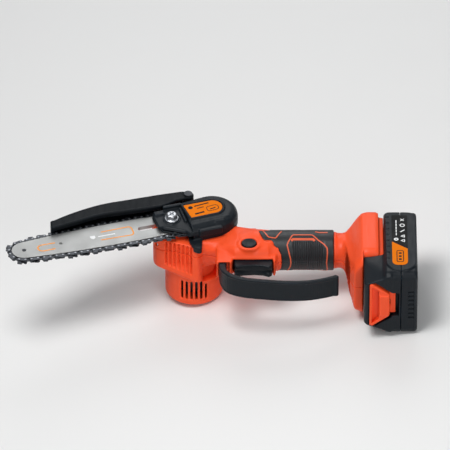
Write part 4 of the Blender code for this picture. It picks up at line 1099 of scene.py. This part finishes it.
def link_solid(points, faces, axes, outline, low, high, soft=0.14):
    """Adds a plate with softened rims to the lists, from (along, out) points."""
    middle, along, out = axes
    low, high = sorted((low, high))
    n = len(outline)
    cu = sum(p[0] for p in outline) / n
    cv = sum(p[1] for p in outline) / n
    levels = ((low, soft), (low + soft, 0), (high - soft, 0), (high, soft))
    faces += ring_faces(n, len(levels), len(points))
    for z, shrink in levels:
        for u, v in outline:
            far = max(math.hypot(u - cu, v - cv), 0.01)
            k = 1 - shrink / far
            spot = middle + along * (cu + (u - cu) * k) + out * (cv + (v - cv) * k)
            points.append((*bar_to_tool(spot.x, spot.y), BAR_MID_Z + z))


def oval_link(half, end, waist):
    """A figure-of-eight side strap: round ends about its two rivets, drawn in at the waist."""
    right = arc((half, 0), end, -62, 62, 6)
    left = arc((-half, 0), end, 118, 242, 6)
    return right + [(0, waist)] + left + [(0, -waist)]


def chain():
    straps, rivets = ([], []), ([], [])
    step = STATIONS[-1] / (2 * DRIVE_LINKS)
    half = PITCH / 2
    drive = [
        (-3.9, 1.9), (-2.4, 1.9), (-1.2, 1.1), (1.2, 1.1), (2.4, 1.9), (3.9, 1.9), (4.9, 0.9), (4.9, -0.9),
        (3.8, -1.9), (2.5, -2.3), (0.7, -4.4), (-1.5, -3.8), (-2.6, -2.1), (-3.9, -1.8), (-4.9, -0.9),
        (-4.9, 0.9),
    ]
    side_plate = [
        (-4.9, -0.8), (-4.0, -1.6), (-2.4, -1.6), (0, -1.0), (2.4, -1.6), (4.0, -1.6), (4.9, -0.8), (5.0, 2.3),
        (4.5, 3.2), (3.2, 3.3), (2.3, 2.5), (1.4, 2.1), (0.6, 2.2), (-0.2, 3.2), (-0.4, 4.0), (-4.4, 3.5),
        (-4.7, 1.7),
    ]
    top_plate = [(-4.5, 2.8), (-0.3, 3.4), (-0.1, 4.2), (-4.5, 3.7)]
    strap = oval_link(half, 2.1, 1.7)
    ends = arc((-half, 0), 2.1, 118, 242, 6) + [(0, -1.7)] + arc((half, 0), 2.1, -62, 20, 5)
    hump = ends + [(4.6, 2.5), (3.2, 3.3), (1.4, 3.1), (-1.0, 2.3)]
    for k in range(DRIVE_LINKS):
        axes = link_axes((2 * k + 0.5) * step)
        link_solid(*straps, axes, drive, -0.62, 0.62)
        axes = link_axes((2 * k + 1.5) * step)
        cutting = 0 if k % 2 else (1 if k % 4 == 0 else -1)
        bumper = 1 if k % 4 == 1 else -1
        for side in (1, -1):
            plain = hump if not cutting and side == bumper else strap
            link_solid(*straps, axes, side_plate if side == cutting else plain, side * 0.68, side * 1.70)
        if cutting:
            link_solid(*straps, axes, top_plate, cutting * 1.72, cutting * -1.1, 0.1)
        for station in (2 * k + 1, 2 * k + 2):
            spot = (on_line(station * step), *link_axes(station * step)[1:])
            for side in (1, -1):
                link_solid(*rivets, spot, arc((0, 0), 1.15, 0, 324, 9), side * 1.70, side * 2.15, 0.2)
    for name, mesh, finish in (("chain_links", straps, "chain_steel"), ("chain_rivets", rivets, "rivet_steel")):
        piece = place(name, *mesh, finish, "body", ("saw_chain",))
        tidy_normals(piece.data, 32)


def bar_marks():
    """Two open loops printed on the bar, facing each other, with a shield and a line between them."""
    z = BAR_MID_Z + BAR_THICK / 2

    def on_face(x, y, height):
        return (*bar_to_tool(x, y), z + height)

    nose_end = [(-162.5, 2.5), (-171, 2.8)] + arc((-176.5, -2.0), 4.8, 95, 265, 10) + [(-171, -6.8), (-164.5, -6.5)]
    heel = arc((-86.4, 3.2), 3.6, 80, 5, 5) + arc((-86.4, -3.2), 3.6, -5, -80, 5)
    heel_end = [(-114, 6.2), (-105, 6.4), (-89, 6.8)] + heel + [(-92, -6.6), (-108, -6.2), (-117, -6.0)]
    for name, path in (("bar_loop_nose", nose_end), ("bar_loop_heel", heel_end)):
        ribbon(name, path, 1.5, (0.01, 0.05), "print", "bar", on_face)
    over = (0.06, 0.1)
    shield = [(-126.8, 2.6, 0.8), (-121.2, 2.6, 0.8), (-121.6, -1.0, 1.2), (-124.0, -3.0, 1.0), (-126.4, -1.0, 1.2)]
    sheet_piece("bar_mark_shield", fillet(shield, 3), *over, "mark", "bar", on_face, 0.01)
    ribbon("bar_mark_line", [(-118.6, -0.2), (-101.0, -0.2)], 1.7, over, "mark", "bar", on_face)


def bar_nut():
    x, y = bar_to_tool(*STUD)
    g = Grid((x - 8, x + 8), (y - 8, y + 8), (24.5, 34.5), 0.28)
    away = rod(g.x, g.y, (x, y), 0.0)
    flange = slab(away - 6.9, g.z, 25.5, 27.0, 0.5)
    skirt = common(away - 6.2 + (g.z - 26.6) * 0.9, common(g.z - 28.4, 26.0 - g.z))
    turn = np.arctan2(g.y - y, g.x - x) - BAR_TURN
    sector = np.mod(turn + math.pi / 6, math.pi / 3) - math.pi / 6
    hexagon = away * np.cos(sector) - 4.85
    body = slab(hexagon, g.z, 26.5, 32.2, 0.7)
    crown = np.sqrt(away**2 + (g.z - 24.0) ** 2) - 9.0
    body = common(body, crown, 0.8)
    nut = join(join(flange, skirt, 0.5), body, 0.8)
    for k in (0, 1):
        a = math.radians(45 + 90 * k)
        u = (g.x - x) * math.cos(a) + (g.y - y) * math.sin(a)
        v = (g.y - y) * math.cos(a) - (g.x - x) * math.sin(a)
        nut = carve(nut, slab(rect(u, v, -3.0, 3.0, -0.6, 0.6), g.z, 31.0, 36), 0.3)
    nut = carve(nut, common(away - 3.2, g.z - 30.4))
    moulded("bar_nut_skin", nut, g, "zinc", "bar_nut")


# ---------------------------------------------------------------- studio


def studio():
    bpy.context.scene.view_settings.view_transform = "Standard"
    world = bpy.data.worlds.new("studio")
    bpy.context.scene.world = world
    world.use_nodes = True
    world.node_tree.nodes["Background"].inputs["Color"].default_value = (0.93, 0.95, 1.0, 1)
    world.node_tree.nodes["Background"].inputs["Strength"].default_value = 0.22
    mesh = bpy.data.meshes.new("floor")
    corners = [(-3.0, -3.0, 0), (3.0, -3.0, 0), (3.0, 3.0, 0), (-3.0, 3.0, 0)]
    mesh.from_pydata(corners, [], [(0, 1, 2, 3)])
    floor = shown("floor", mesh)
    paint = Finish("floor_paint", (0.80, 0.80, 0.79), 0.7)
    paint.rough(paint.span(paint.noise(20.0), 0.3, 0.7, 0.62, 0.78))
    mesh.materials.append(paint.material)
    middle = TOOL @ Vector((-30 * MM, 0, 0))
    for name, offset, size, power in (
        ("key", (-0.25, -0.30, 1.30), 0.6, 13.5),
        ("fill", (0.7, -1.2, 0.55), 0.8, 6.5),
        ("back", (0.1, 1.2, 0.9), 0.9, 5.5),
    ):
        light = bpy.data.lights.new(name, "AREA")
        light.energy = power
        light.size = size
        lamp = shown(name, light)
        lamp.location = middle + Vector(offset)
        lamp.rotation_euler = (middle - lamp.location).to_track_quat("-Z", "Y").to_euler()


DISTANCE = 8500.0
SEEN_WIDTH = 450.0  # mm across the frame
SENSOR = 36.0
ELEVATION = math.radians(38)


def camera():
    """Looks down at the cover's side from the trigger's side, with the handle level in the frame."""
    up = Vector((0, math.sin(ELEVATION), math.cos(ELEVATION)))
    back = Vector((0, -math.cos(ELEVATION), math.sin(ELEVATION)))
    right = Vector((1, 0, 0))
    aim = right * -75 + up * 25
    seen = Matrix((right, up, back)).transposed().to_4x4()
    data = bpy.data.cameras.new("camera")
    data.sensor_width = SENSOR
    data.lens = SENSOR * DISTANCE / SEEN_WIDTH
    made = shown("camera", data)
    made.matrix_world = Matrix.Translation(TOOL @ ((aim + back * DISTANCE) * MM)) @ TOOL.to_3x3().to_4x4() @ seen
    bpy.context.scene.camera = made


dress_cad()
housing()
grip()
grip_inlays()
side_cover()
badge()
upper_guard()
hand_guard()
controls()
battery()
battery_label()
chain()
bar_marks()
bar_nut()
studio()
camera()
